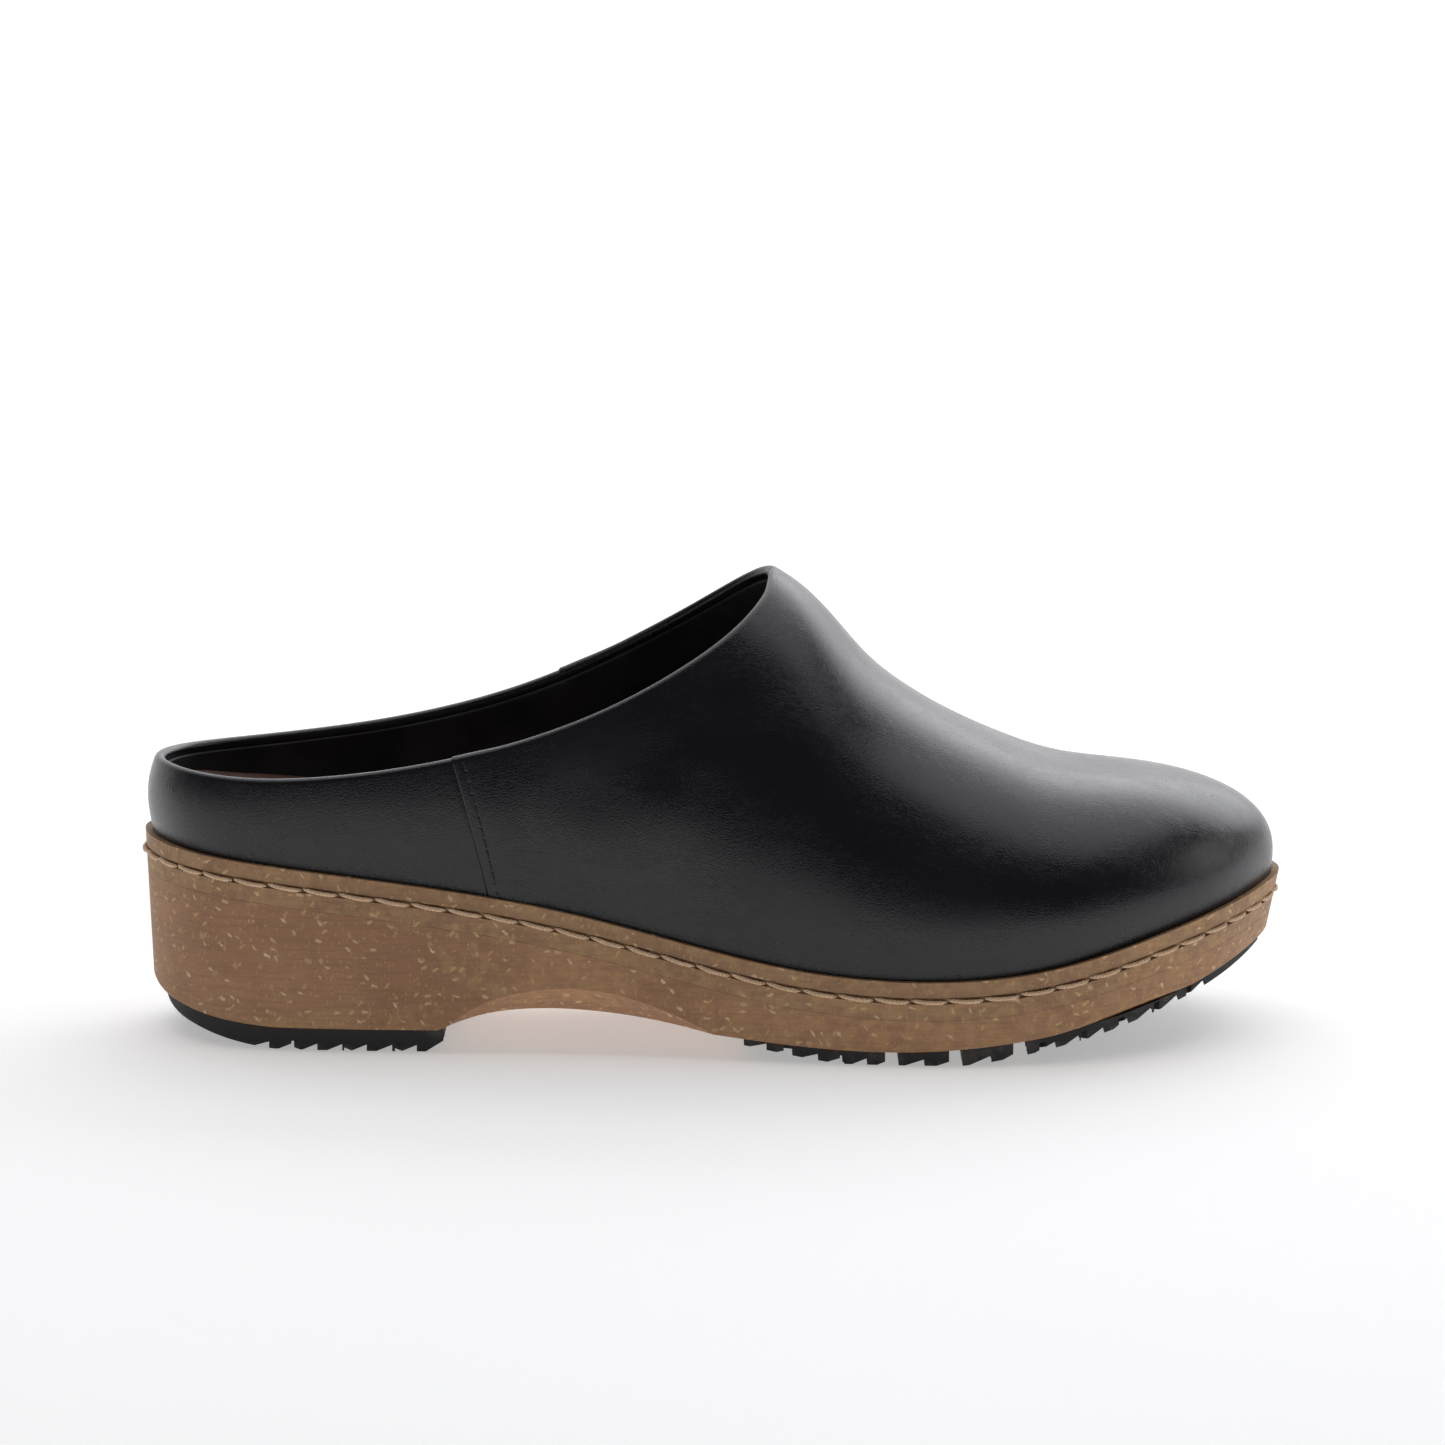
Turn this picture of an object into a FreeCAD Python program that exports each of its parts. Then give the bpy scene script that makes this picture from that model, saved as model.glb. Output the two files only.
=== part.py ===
import FreeCAD, Part
import bisect
import math
import os

# A closed-toe slip-on clog for a right foot: a lined leather upper, lasted over an insole board and
# set into a stitched welt on a moulded sole with a low heel, with black rubber treads underneath.
# +X points to the toe, +Y to the inner (medial) side and +Z up. The origin is on the ground, at the
# middle of the shoe's length and width. Lengths are in millimetres.

V = FreeCAD.Vector
LATERAL, MEDIAL = -1, 1

doc = FreeCAD.newDocument("clog")
sheet = doc.addObject("Spreadsheet::Sheet", "Sizes")

# ---- driving dimensions ----

DIMENSIONS = (
    ("shoe_length", 268.0),
    ("shoe_width", 98.0),
    ("heel_rim_height", 46.8),
    ("ball_rim_height", 20.0),
    ("toe_rim_height", 36.0),
    ("instep_height", 108.5),
    ("welt_height", 9.0),
    ("welt_depth", 6.5),
    ("seat_depth", 3.0),
    ("lip_width", 1.8),
    ("leather", 1.4),
    ("stiffener", 0.9),
    ("lining", 0.85),
    ("glue_gap", 0.05),
    ("lasting_margin", 13.0),
    ("board", 2.0),
    ("footbed_heel", 6.5),
    ("footbed_ball", 4.0),
    ("sock_cover", 1.0),
    ("shank_length", 96.0),
    ("shank_width", 12.0),
    ("shank_thickness", 1.2),
    ("rivet_radius", 2.0),
    ("heel_tread_length", 68.0),
    ("tread_inset", 3.6),
    ("heel_tread_inset", 4.4),
    ("lug_depth", 2.0),
    ("lug_pitch", 11.4),
    ("lug_groove", 1.5),
    ("lug_angle", 32.0),
    ("tooth_depth", 1.5),
    ("centre_rib", 24.0),
    ("welt_stitch_pitch", 8.1),
    ("welt_stitch", 7.4),
    ("welt_thread_radius", 0.45),
    ("stitch_drop", 4.3),
    ("groove_height", 1.5),
    ("groove_depth", 0.8),
    ("seam_stitch_pitch", 2.6),
    ("seam_stitch", 1.9),
    ("seam_thread_radius", 0.25),
    ("seam_margin", 2.0),
    ("seam_lap", 8.0),
    ("topline_tape_height", 5.0),
    ("topline_fold", 1.6),
    ("topline_turn", 10.0),
    ("tool_width", 260.0),
    ("form_height", 60.0),
)

for row, (alias, value) in enumerate(DIMENSIONS, 1):
    sheet.set("A%d" % row, alias)
    sheet.set("B%d" % row, str(value))
    sheet.setAlias("B%d" % row, alias)
doc.recompute()


def size(alias):
    return float(sheet.get(alias))


HALF = size("shoe_length") / 2
GAP = size("glue_gap")

# ---- curves ----


def spline(points):
    curve = Part.BSplineCurve()
    curve.interpolate(Points=[V(*p) for p in points])
    return curve


def closed_spline(points):
    """A closed curve with evenly spaced knots, so that curves of equally many points match each other."""
    curve = Part.BSplineCurve()
    knots = [float(i) for i in range(len(points) + 1)]
    curve.interpolate(Points=[V(*p) for p in points], PeriodicFlag=True, Parameters=knots)
    return curve


class Line:
    """A height over x: a smooth curve through its own points, which may be lifted."""

    def __init__(self, points):
        self.points = points
        samples = spline([(x, z, 0) for x, z in points]).toShape().discretize(Number=300)
        self.xs = [p.x for p in samples]
        self.zs = [p.y for p in samples]

    def at(self, x):
        i = min(max(bisect.bisect_left(self.xs, x), 1), len(self.xs) - 1)
        x0, x1 = self.xs[i - 1], self.xs[i]
        share = (x - x0) / (x1 - x0)
        return self.zs[i - 1] + share * (self.zs[i] - self.zs[i - 1])

    def lifted(self, lift):
        """The same line raised by a number, or by a function of x."""
        if callable(lift):
            return Line([(x, z + lift(x)) for x, z in self.points])
        return Line([(x, z + lift) for x, z in self.points])


def smooth_step(x, x0, x1):
    share = min(max((x - x0) / (x1 - x0), 0.0), 1.0)
    return share * share * (3 - 2 * share)


def rim_points():
    """The top edge of the welt in side view: high at the heel, lowest at the ball, rising at the toe."""
    ball = size("ball_rim_height")
    to_heel = size("heel_rim_height") - ball
    to_toe = size("toe_rim_height") - ball
    rear = ((-1.12, 1.05), (-1.0, 1.0), (-0.72, 0.86), (-0.5, 0.725), (-0.276, 0.537), (-0.075, 0.3), (0.127, 0.085), (0.35, 0.0))
    front = ((0.575, 0.145), (0.784, 0.56), (1.0, 1.0), (1.12, 1.22))
    return [(x * HALF, ball + s * to_heel) for x, s in rear] + [(x * HALF, ball + s * to_toe) for x, s in front]


RIM = Line(rim_points())
SEAT = RIM.lifted(-size("seat_depth"))
WELT_FOOT = RIM.lifted(-size("welt_height"))

# The underside of the moulded sole: a bevelled heel, the arch, the ball and the toe spring.
HEEL_BACK = [(-150, 25.6), (-134, 13.8), (-129, 10.4), (-123, 8.5), (-114, 6.8), (-102, 5.7)]
HEEL_FRONT = (-63.5, 5.7)
ARCH = [
    HEEL_FRONT, (-56, 8.2), (-43, 9.6), (-28, 9.0), (-12, 7.5), (4, 5.6), (20, 4.1), (45, 3.5),
    (63, 4.8), (82, 7.6), (100, 11.6), (115, 16.4), (127, 20.8), (150, 31.0),
]
UNDER_FRONT = Line(ARCH)
UNDER_HEEL = Line(HEEL_BACK)

# The ground side of the treads.
HEEL_TREAD_BACK = [(-130.4, 8.6), (-127, 5.8), (-121, 3.6), (-114, 1.8), (-108, 0.7), (-102, 0.0)]
HEEL_TREAD_FRONT = [(-66.5, 0.0), (-62.4, 2.6)]
BALL_TREAD_BACK = [(7.0, 3.4), (14, 2.2), (22, 0.9), (29, 0.0)]
TOE_TREAD = [(57.0, 0.0), (66, 1.2), (76, 3.1), (88, 5.7), (100, 9.1), (112, 13.1), (120, 16.2), (128.4, 20.2)]

# The bottom outline of the shoe as shares of half its length and half its width.
OUTLINE = (
    (-1.0, 0.06), (-0.965, -0.27), (-0.87, -0.545), (-0.70, -0.68), (-0.45, -0.72), (-0.15, -0.775),
    (0.15, -0.925), (0.38, -1.0), (0.58, -0.945), (0.75, -0.75), (0.885, -0.46), (0.972, -0.10),
    (1.0, 0.20), (0.972, 0.52), (0.885, 0.79), (0.72, 0.955), (0.50, 1.0), (0.25, 0.93),
    (-0.05, 0.775), (-0.35, 0.705), (-0.65, 0.735), (-0.85, 0.665), (-0.965, 0.40),
)
STATIONS = 72


def outline_stations():
    """Points round the outline with their outward normals, sized to the shoe's length and width."""
    curve = closed_spline([(x, y, 0) for x, y in OUTLINE])
    first, last = curve.FirstParameter, curve.LastParameter
    fine = [curve.value(first + (last - first) * i / 2000) for i in range(2000)]
    lows = V(min(p.x for p in fine), min(p.y for p in fine), 0)
    highs = V(max(p.x for p in fine), max(p.y for p in fine), 0)
    half_width = size("shoe_width") / 2
    stations = []
    for i in range(STATIONS):
        place = first + (last - first) * i / STATIONS
        p, t = curve.value(place), curve.tangent(place)[0]
        x = (2 * (p.x - lows.x) / (highs.x - lows.x) - 1) * HALF
        y = (2 * (p.y - lows.y) / (highs.y - lows.y) - 1) * half_width
        normal = V(t.y * half_width, -t.x * HALF, 0).normalize()
        if normal.x * x + normal.y * y < 0:
            normal = normal * -1
        stations.append((V(x, y, 0), normal))
    return stations


OUTLINE_STATIONS = outline_stations()


def inset_outline(inset, height=0.0):
    """A closed curve inside the outline. inset is a number, or a function of x."""
    points = []
    for p, normal in OUTLINE_STATIONS:
        depth = inset(p.x) if callable(inset) else inset
        q = p - normal * depth
        points.append((q.x, q.y, height))
    return closed_spline(points)


class Sides:
    """An inset outline as the y of its lateral and medial sides over x."""

    def __init__(self, inset):
        points = inset_outline(inset).toShape().discretize(Number=1200)[:-1]
        heel = min(range(len(points)), key=lambda i: points[i].x)
        points = points[heel:] + points[:heel + 1]
        toe = max(range(len(points)), key=lambda i: points[i].x)
        one, other = points[:toe + 1], points[toe:][::-1]
        if one[len(one) // 2].y > other[len(other) // 2].y:
            one, other = other, one
        self.halves = {LATERAL: one, MEDIAL: other}
        self.heel, self.toe = one[0], one[-1]

    def y(self, side, x):
        half = self.halves[side]
        if x <= half[0].x:
            return half[0].y
        if x >= half[-1].x:
            return half[-1].y
        xs = [p.x for p in half]
        i = max(bisect.bisect_left(xs, x), 1)
        share = (x - xs[i - 1]) / (xs[i] - xs[i - 1])
        return half[i - 1].y + share * (half[i].y - half[i - 1].y)


# ---- the last: the foot-shaped form that every layer of the upper is built round ----

LIFT = size("instep_height") - 108.5
RIDGE = Line([
    (-150, 82), (-110, 92), (-80, 103), (-50, 114), (-20, 120), (-3, 117 + LIFT), (13, 109 + LIFT),
    (21, 103.6 + LIFT), (28, 96.6 + LIFT), (36, 87.6 + LIFT), (46, 79.4 + LIFT * 0.6), (58, 72.4),
    (70, 66.9), (80, 63.4), (90, 61.9), (105, 61.2), (134, 60.6),
])
RIDGE_Y = Line([(-150, 3), (-60, 4), (12, 5), (60, 6.5), (100, 8), (150, 9.5)])
SQUARENESS = Line([(-150, 2.3), (-60, 2.2), (-10, 2.05), (25, 2.05), (60, 2.35), (90, 2.8), (134, 3.2), (150, 3.2)])
BULGE = Line([(-150, 1.8), (-120, 1.9), (-60, 2.3), (20, 2.4), (70, 2.2), (105, 1.3), (134, 0.5), (150, 0.5)])
TOE_PIVOT, TOE_EASE = 62.0, 28.0
HEEL_PIVOT, HEEL_EASE = -72.0, 30.0
TOPLINE = Line([
    (-175, 70), (-150, 66.8), (-131, 65.0), (-112, 64.0), (-90, 65.3), (-70, 68.4), (-50, 73.4),
    (-30, 81.0), (-12, 90.4), (2, 99.3), (13, 108.0), (24, 118.0), (40, 134.0),
])

FEATHER = Sides(size("lip_width"))
COLUMNS, ROWS = 44, 15
FORM_FOOT = -5.0


def ridge_x(x):
    """Where on the ridge the rib that starts at x ends: the ribs fan out round the toe and the heel."""
    if x > TOE_PIVOT:
        return TOE_PIVOT + TOE_EASE * (1 - math.exp(-(x - TOE_PIVOT) / TOE_EASE))
    if x < HEEL_PIVOT:
        return HEEL_PIVOT - HEEL_EASE * (1 - math.exp((x - HEEL_PIVOT) / HEEL_EASE))
    return x


def rib_point(side, along, up):
    """A point of the upper's outer surface: along runs 0 to 1 from heel to toe, up from rim to ridge."""
    heel, toe = FEATHER.heel, FEATHER.toe
    middle, reach = (heel.x + toe.x) / 2, (toe.x - heel.x) / 2
    x = middle - reach * math.cos(math.pi * along)
    y = FEATHER.y(side, x)
    foot = V(x, y, RIM.at(x))
    top_x = ridge_x(x)
    top = V(top_x, RIDGE_Y.at(top_x), RIDGE.at(top_x))
    power = 2.0 / SQUARENESS.at(x)
    angle = math.pi / 2 * up
    rise = math.sin(angle) ** power
    inward = 1 - max(math.cos(angle), 0.0) ** power
    px = foot.x + (top.x - foot.x) * inward
    py = foot.y + (top.y - foot.y) * inward
    slope = (RIDGE.at(top_x + 0.5) - RIDGE.at(top_x - 0.5)) if top_x != x else 0.0
    crown = top.z + slope * (px - top.x)
    pz = foot.z + (crown - foot.z) * rise
    outward = V(x - top.x, y - top.y, 0)
    if outward.Length > 1e-6:
        outward.normalize()
    swell = BULGE.at(x) * math.sin(math.pi * rise ** 0.7) ** 2
    return V(px, py, pz) + outward * swell


def rib_normal(side, along, up):
    """The outward normal, from points close by inside the patch."""
    step = 0.004
    a = min(max(along, 2 * step), 1 - 2 * step)
    u = min(max(up, 2 * step), 1 - 2 * step)
    forwards = rib_point(side, a + step, u) - rib_point(side, a - step, u)
    upwards = rib_point(side, a, u + step) - rib_point(side, a, u - step)
    normal = forwards.cross(upwards) * -side
    if along < step or along > 1 - step or up > 1 - step:
        normal.y = 0
    return normal.normalize()


def last_poles(side, depth):
    """The control points of one half of the last, moved inwards by depth."""
    columns = []
    for c in range(COLUMNS):
        along = c / (COLUMNS - 1)
        column = []
        for r in range(ROWS):
            up = r / (ROWS - 1)
            normal = rib_normal(side, along, up)
            if r == 0:
                normal.z = 0
                normal.normalize()
            column.append(rib_point(side, along, up) - normal * depth)
        # the row next to the ridge is kept level with it, so that the two halves meet smoothly
        ridge, beside = column[-1], column[-2]
        slope = (RIDGE.at(ridge.x + 0.5) - RIDGE.at(ridge.x - 0.5)) if abs(beside.x - ridge.x) > 0.01 else 0.0
        beside.z = ridge.z + slope * (beside.x - ridge.x)
        foot = column[0]
        skirt = [V(foot.x, foot.y, z) for z in (FORM_FOOT, foot.z - 8, foot.z - 4)]
        columns.append(skirt + column)
    for end, beside in ((columns[0], columns[1]), (columns[-1], columns[-2])):
        for row, p in enumerate(end[:-2]):
            beside[row] = V(p.x, beside[row].y, p.z)
    return columns


def clamped(count):
    return [4] + [1] * (count - 4) + [4], list(range(count - 2))


def poles_face(poles):
    along_mults, along_knots = clamped(len(poles))
    up_mults, up_knots = clamped(len(poles[0]))
    surface = Part.BSplineSurface()
    surface.buildFromPolesMultsKnots(poles, along_mults, up_mults, along_knots, up_knots, False, False, 3, 3)
    return surface.toShape()


def poles_edge(poles):
    mults, knots = clamped(len(poles))
    curve = Part.BSplineCurve()
    curve.buildFromPolesMultsKnots(poles, mults, knots, False, 3)
    return curve.toShape()


def last_solid(depth):
    """The last as a closed solid, its whole outer surface moved inwards by depth."""
    lateral, medial = last_poles(LATERAL, depth), last_poles(MEDIAL, depth)
    for c, (one, other) in enumerate(zip(lateral, medial)):
        on_end = c in (0, COLUMNS - 1)
        for r in range(len(one)):
            if on_end or r == len(one) - 1:
                one[r] = other[r] = (one[r] + other[r]) * 0.5
    soles = [poles_edge([column[0] for column in half]) for half in (lateral, medial)]
    sole_face = Part.Face(Part.Wire(soles))
    shell = Part.makeShell([poles_face(lateral), poles_face(medial), sole_face])
    shell.sewShape()
    solid = Part.makeSolid(Part.Shell(shell.Faces))
    if solid.Volume < 0:
        solid.reverse()
    return solid


# ---- document helpers ----

PARTS = []


def feature(label, shape):
    made = doc.addObject("Part::Feature", label)
    made.Shape = shape
    return made


def cut(label, base, tool):
    made = doc.addObject("Part::Cut", label)
    made.Base, made.Tool, made.Refine = base, tool, False
    return made


def common(label, base, tool):
    made = doc.addObject("Part::Common", label)
    made.Base, made.Tool, made.Refine = base, tool, False
    return made


def join(label, *shapes):
    made = doc.addObject("Part::MultiFuse", label)
    made.Shapes, made.Refine = list(shapes), False
    return made


def together(label, *shapes):
    made = doc.addObject("Part::Compound", label)
    made.Links = list(shapes)
    return made


def sub_part(made, label):
    """Marks a finished object as one piece of the shoe."""
    made.Label = label
    PARTS.append(made)
    return made


def edge_through(points):
    """A sketch edge through (x, z) points: a line for two, a smooth curve for more."""
    if len(points) == 2:
        return Part.LineSegment(V(*points[0], 0), V(*points[1], 0))
    return spline([(x, z, 0) for x, z in points])


def side_prism(label, *runs):
    """A profile in side view, each run starting where the one before ends, extruded across the shoe."""
    sketch = doc.addObject("Sketcher::SketchObject", label + "_profile")
    sketch.Placement = FreeCAD.Placement(V(0, 0, 0), FreeCAD.Rotation(V(1, 0, 0), 90))
    corners = [run[0] for run in runs]
    for run, following in zip(runs, corners[1:] + corners[:1]):
        sketch.addGeometry(edge_through(run), False)
        if abs(run[-1][0] - following[0]) > 1e-9 or abs(run[-1][1] - following[1]) > 1e-9:
            sketch.addGeometry(edge_through([run[-1], following]), False)
    prism = doc.addObject("Part::Extrusion", label)
    prism.Base = sketch
    prism.DirMode = "Normal"
    prism.Symmetric = True
    prism.Solid = True
    prism.setExpression("LengthFwd", "Sizes.tool_width")
    return prism


def band(label, lower, upper):
    """The space between two height lines."""
    return side_prism(label, lower.points, upper.points[::-1])


def plan_body(label, inset, height):
    """A PartDesign body: the outline, inset, padded straight up from the ground."""
    body = doc.addObject("PartDesign::Body", label)
    sketch = body.newObject("Sketcher::SketchObject", label + "_outline")
    plane = [o for o in body.Origin.OriginFeatures if o.Role == "XY_Plane"][0]
    sketch.AttachmentSupport = [(plane, "")]
    sketch.MapMode = "FlatFace"
    sketch.addGeometry(inset_outline(inset), False)
    pad = body.newObject("PartDesign::Pad", label + "_pad")
    pad.Profile = sketch
    pad.setExpression("Length", height)
    return body


def draft_body(label, sections):
    """A PartDesign body lofted through outlines at rising heights, each (height, inset)."""
    body = doc.addObject("PartDesign::Body", label)
    plane = [o for o in body.Origin.OriginFeatures if o.Role == "XY_Plane"][0]
    sketches = []
    for i, (height, inset) in enumerate(sections):
        sketch = body.newObject("Sketcher::SketchObject", "%s_section_%d" % (label, i))
        sketch.AttachmentSupport = [(plane, "")]
        sketch.MapMode = "FlatFace"
        sketch.AttachmentOffset = FreeCAD.Placement(V(0, 0, height), FreeCAD.Rotation())
        sketch.addGeometry(inset_outline(inset), False)
        sketches.append(sketch)
    loft = body.newObject("PartDesign::AdditiveLoft", label + "_loft")
    loft.Profile = sketches[0]
    loft.Sections = sketches[1:]
    loft.Ruled = True
    return body


# ---- the moulded sole and the welt ----

FORM_TOP = size("form_height")
UNDERCUT_TOP = 22.0
UNDERCUT_SLOPE = 1.25
# Where the side wall turns in under the arch. Away from the arch the line lies below the sole.
WAIST_TOP = Line([
    (-150, -4), (-90, -4), (-74, -4), (-67, 2.0), (-62, 7.1), (-54.8, 11.2), (-46.6, 14.3), (-38, 15.6), (-30, 15.8),
    (-20.6, 14.3), (-11.2, 11.2), (-4, 7.9), (2, 5.0), (9, 1.0), (18, -3), (40, -4), (150, -4),
])


def draft(x):
    """How much the side wall leans in for each millimetre below the rim: most at the toe."""
    return 0.041 + 0.06 * smooth_step(x, -40, 30) + 0.1 * smooth_step(x, 80, 134)


def wall_depth(x, z):
    """The inset of the side wall at a height."""
    return (RIM.at(x) - z) * draft(x)


def waist_depth(x, z):
    """The inset of the undercut's slanted face at a height."""
    return wall_depth(x, z) + UNDERCUT_SLOPE * (WAIST_TOP.at(x) - z)


def sole_sections(depth=0.0):
    """Height and inset of the outlines that the sole's side wall runs through."""
    return tuple((z, lambda x, z=z: wall_depth(x, z) + depth) for z in (0.0, FORM_TOP))


sole_form = draft_body("sole_form", sole_sections())
groove_form = draft_body("groove_form", sole_sections(size("groove_depth")))
waist_form = draft_body("waist_form", (
    (0.0, lambda x: waist_depth(x, 0.0)),
    (UNDERCUT_TOP, lambda x: waist_depth(x, UNDERCUT_TOP)),
    (FORM_TOP, lambda x: waist_depth(x, UNDERCUT_TOP)),
))
plateau_form = plan_body("plateau_form", size("welt_depth"), "Sizes.form_height")
plateau_clear = plan_body("plateau_clear", size("welt_depth") - GAP, "Sizes.form_height")
lip_clear = plan_body("lip_clear", size("lip_width") - GAP, "Sizes.form_height")

under_runs = (HEEL_BACK, [HEEL_BACK[-1], HEEL_FRONT], ARCH)
lower_space = side_prism("lower_space", *under_runs, WELT_FOOT.points[::-1])
CORE = Line([(-150, 26), (-60, 20), (0, 11), (45, 7.2), (90, 12.5), (150, 30)])
core_space = band("core_space", CORE, SEAT)
lower_blank = common("lower_blank", sole_form, lower_space)
lower_sole = common("lower_sole", lower_blank, waist_form)
plateau = common("plateau", plateau_form, core_space)
sub_part(join("midsole_fuse", lower_sole, plateau), "midsole")

welt_blank = common("welt_blank", sole_form, band("welt_space", WELT_FOOT.lifted(GAP), RIM))
welt_ring = cut("welt_ring", welt_blank, plateau_clear)
foot_well = common("foot_well", lip_clear, band("foot_well_space", SEAT, RIM.lifted(6)))
welt_whole = cut("welt_whole", welt_ring, foot_well)
half_groove = size("groove_height") / 2
groove_space = band("groove_space", RIM.lifted(-size("stitch_drop") - half_groove), RIM.lifted(-size("stitch_drop") + half_groove))
groove_tool = cut("groove_tool", common("groove_blank", sole_form, groove_space), groove_form)
sub_part(cut("welt_cut", welt_whole, groove_tool), "welt")

# ---- the treads ----

heel_tread_form = plan_body("heel_tread_form", size("heel_tread_inset"), "Sizes.form_height")
ball_tread_form = plan_body("ball_tread_form", size("tread_inset"), "Sizes.form_height")


def under_at(x):
    if x < HEEL_BACK[-1][0]:
        return UNDER_HEEL.at(x)
    if x < HEEL_FRONT[0]:
        return HEEL_FRONT[1]
    return UNDER_FRONT.at(x)


def tread_top(x):
    return under_at(x) - GAP


def under_run(start, end, count):
    xs = [start + (end - start) * i / (count - 1) for i in range(count)]
    return [(x, tread_top(x)) for x in xs]


heel_start, heel_end = HEEL_TREAD_BACK[0][0], HEEL_TREAD_BACK[0][0] + size("heel_tread_length")
heel_top = HEEL_FRONT[1] - GAP
heel_profile = (
    HEEL_TREAD_BACK, HEEL_TREAD_FRONT, [HEEL_TREAD_FRONT[-1], (heel_end, heel_top)],
    [(heel_end, heel_top), (HEEL_BACK[-1][0], heel_top)], under_run(HEEL_BACK[-1][0], heel_start, 7),
)
toe_end = TOE_TREAD[-1][0]
ball_profile = (
    BALL_TREAD_BACK, [BALL_TREAD_BACK[-1], TOE_TREAD[0]], TOE_TREAD, under_run(toe_end, BALL_TREAD_BACK[0][0], 15),
)
heel_blank = common("heel_blank", heel_tread_form, side_prism("heel_tread_space", *heel_profile))
ball_blank = common("ball_blank", ball_tread_form, side_prism("ball_tread_space", *ball_profile))


def raised(points, lift):
    return [(x, z + lift) for x, z in points]


def lug_band(label, runs):
    """The layer next to the ground that the lug grooves are cut from."""
    depth = size("lug_depth")
    upper = [raised(run, depth)[::-1] for run in reversed(runs)]
    lower = [raised(run, -3.0) for run in runs]
    return side_prism(label, *lower, *upper)


heel_lug_band = lug_band("heel_lug_band", (HEEL_TREAD_BACK, [HEEL_TREAD_BACK[-1], HEEL_TREAD_FRONT[0]], HEEL_TREAD_FRONT))
ball_lug_band = lug_band("ball_lug_band", (BALL_TREAD_BACK, [BALL_TREAD_BACK[-1], TOE_TREAD[0]], TOE_TREAD))


def groove_boxes(label, first_x, count, side):
    """Slanted boxes, one per groove, from just outside the tread's edge towards its middle."""
    boxes = []
    for i in range(count):
        box = doc.addObject("Part::Box", "%s_%d" % (label, i))
        box.setExpression("Length", "Sizes.lug_groove")
        box.setExpression("Height", "Sizes.form_height")
        box.Width = 40
        turn = size("lug_angle") * -side
        place = V(first_x + i * size("lug_pitch"), side * 9.0, -5)
        turned = FreeCAD.Rotation(V(0, 0, 1), turn if side == MEDIAL else 180 + turn)
        box.Placement = FreeCAD.Placement(place, turned)
        boxes.append(box)
    return boxes


HEEL_TEETH = (-108.6, -103.0, -97.3, -91.7, -85.9, -80.2, -74.3, -68.6, -62.6)
BALL_TEETH = (
    6.0, 12.2, 18.1, 24.0, 29.6, 35.2, 41.0, 48.3, 55.5, 63.6, 70.5, 78.5, 84.0, 89.8, 95.5, 101.2, 107.5, 114.0,
)
HEEL_GROUND, BALL_GROUND, TOE_GROUND = Line(HEEL_TREAD_BACK), Line(BALL_TREAD_BACK), Line(TOE_TREAD)


def ground_at(x):
    """The ground side of the treads."""
    if x < HEEL_TREAD_BACK[-1][0]:
        return HEEL_GROUND.at(x)
    if x < 0:
        return 0.0
    if x < BALL_TREAD_BACK[-1][0]:
        return BALL_GROUND.at(max(x, BALL_TREAD_BACK[0][0]))
    return TOE_GROUND.at(x) if x > TOE_TREAD[0][0] else 0.0


def saw(label, teeth):
    """The space under a row of teeth: each stands square towards the heel and slopes up towards the toe."""
    runs, clear = [], 0.2
    for start, end in zip(teeth, teeth[1:]):
        flat = start + 0.3 * (end - start)
        corners = [
            (start, ground_at(start) - clear), (flat, ground_at(flat) - clear),
            (end, ground_at(end) + size("tooth_depth")), (end, ground_at(end) - clear),
        ]
        runs += [corners[i:i + 2] for i in range(3)]
    floor = -3.0
    first, final = runs[0][0], runs[-1][-1]
    runs += [[final, (final[0], floor)], [(final[0], floor), (first[0], floor)], [(first[0], floor), first]]
    middle = doc.addObject("Part::Box", label + "_centre_rib")
    middle.Length = final[0] - first[0] + 20
    middle.setExpression("Width", "Sizes.centre_rib")
    middle.Height = 60
    middle.Placement.Base = V(first[0] - 10, -size("centre_rib") / 2, -10)
    return cut(label, side_prism(label + "_line", *runs), middle)


heel_grooves = groove_boxes("heel_groove_lateral", -108, 4, LATERAL) + groove_boxes("heel_groove_medial", -110, 4, MEDIAL)
heel_groove_tool = common("heel_groove_tool", together("heel_grooves", *heel_grooves), heel_lug_band)
heel_lugs = cut("heel_lugs", heel_blank, heel_groove_tool)
sub_part(cut("heel_tread_cut", heel_lugs, saw("heel_saw", HEEL_TEETH)), "heel_tread")

ball_grooves = groove_boxes("ball_groove_lateral", -2, 10, LATERAL) + groove_boxes("ball_groove_medial", -4, 10, MEDIAL)
ball_groove_tool = common("ball_groove_tool", together("ball_grooves", *ball_grooves), ball_lug_band)
ball_lugs = cut("ball_lugs", cut("ball_grooved", ball_blank, ball_groove_tool), saw("ball_saw", BALL_TEETH))
FLEX_PADS = (
    ("forefoot_tread_rear", 0.0, 39.3),
    ("forefoot_tread_middle", 42.4, 53.9),
    ("forefoot_tread_front", 57.0, 68.6),
    ("toe_tread", 71.9, 140.0),
)
for label, start, end in FLEX_PADS:
    slab = doc.addObject("Part::Box", label + "_slab")
    slab.Length = end - start
    slab.setExpression("Width", "Sizes.tool_width")
    slab.setExpression("Height", "Sizes.form_height")
    slab.Placement.Base = V(start, -size("tool_width") / 2, -5)
    sub_part(common(label + "_cut", ball_lugs, slab), label)

# ---- bottom layers inside the upper: filler, shank, board, footbed and sock cover ----

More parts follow.
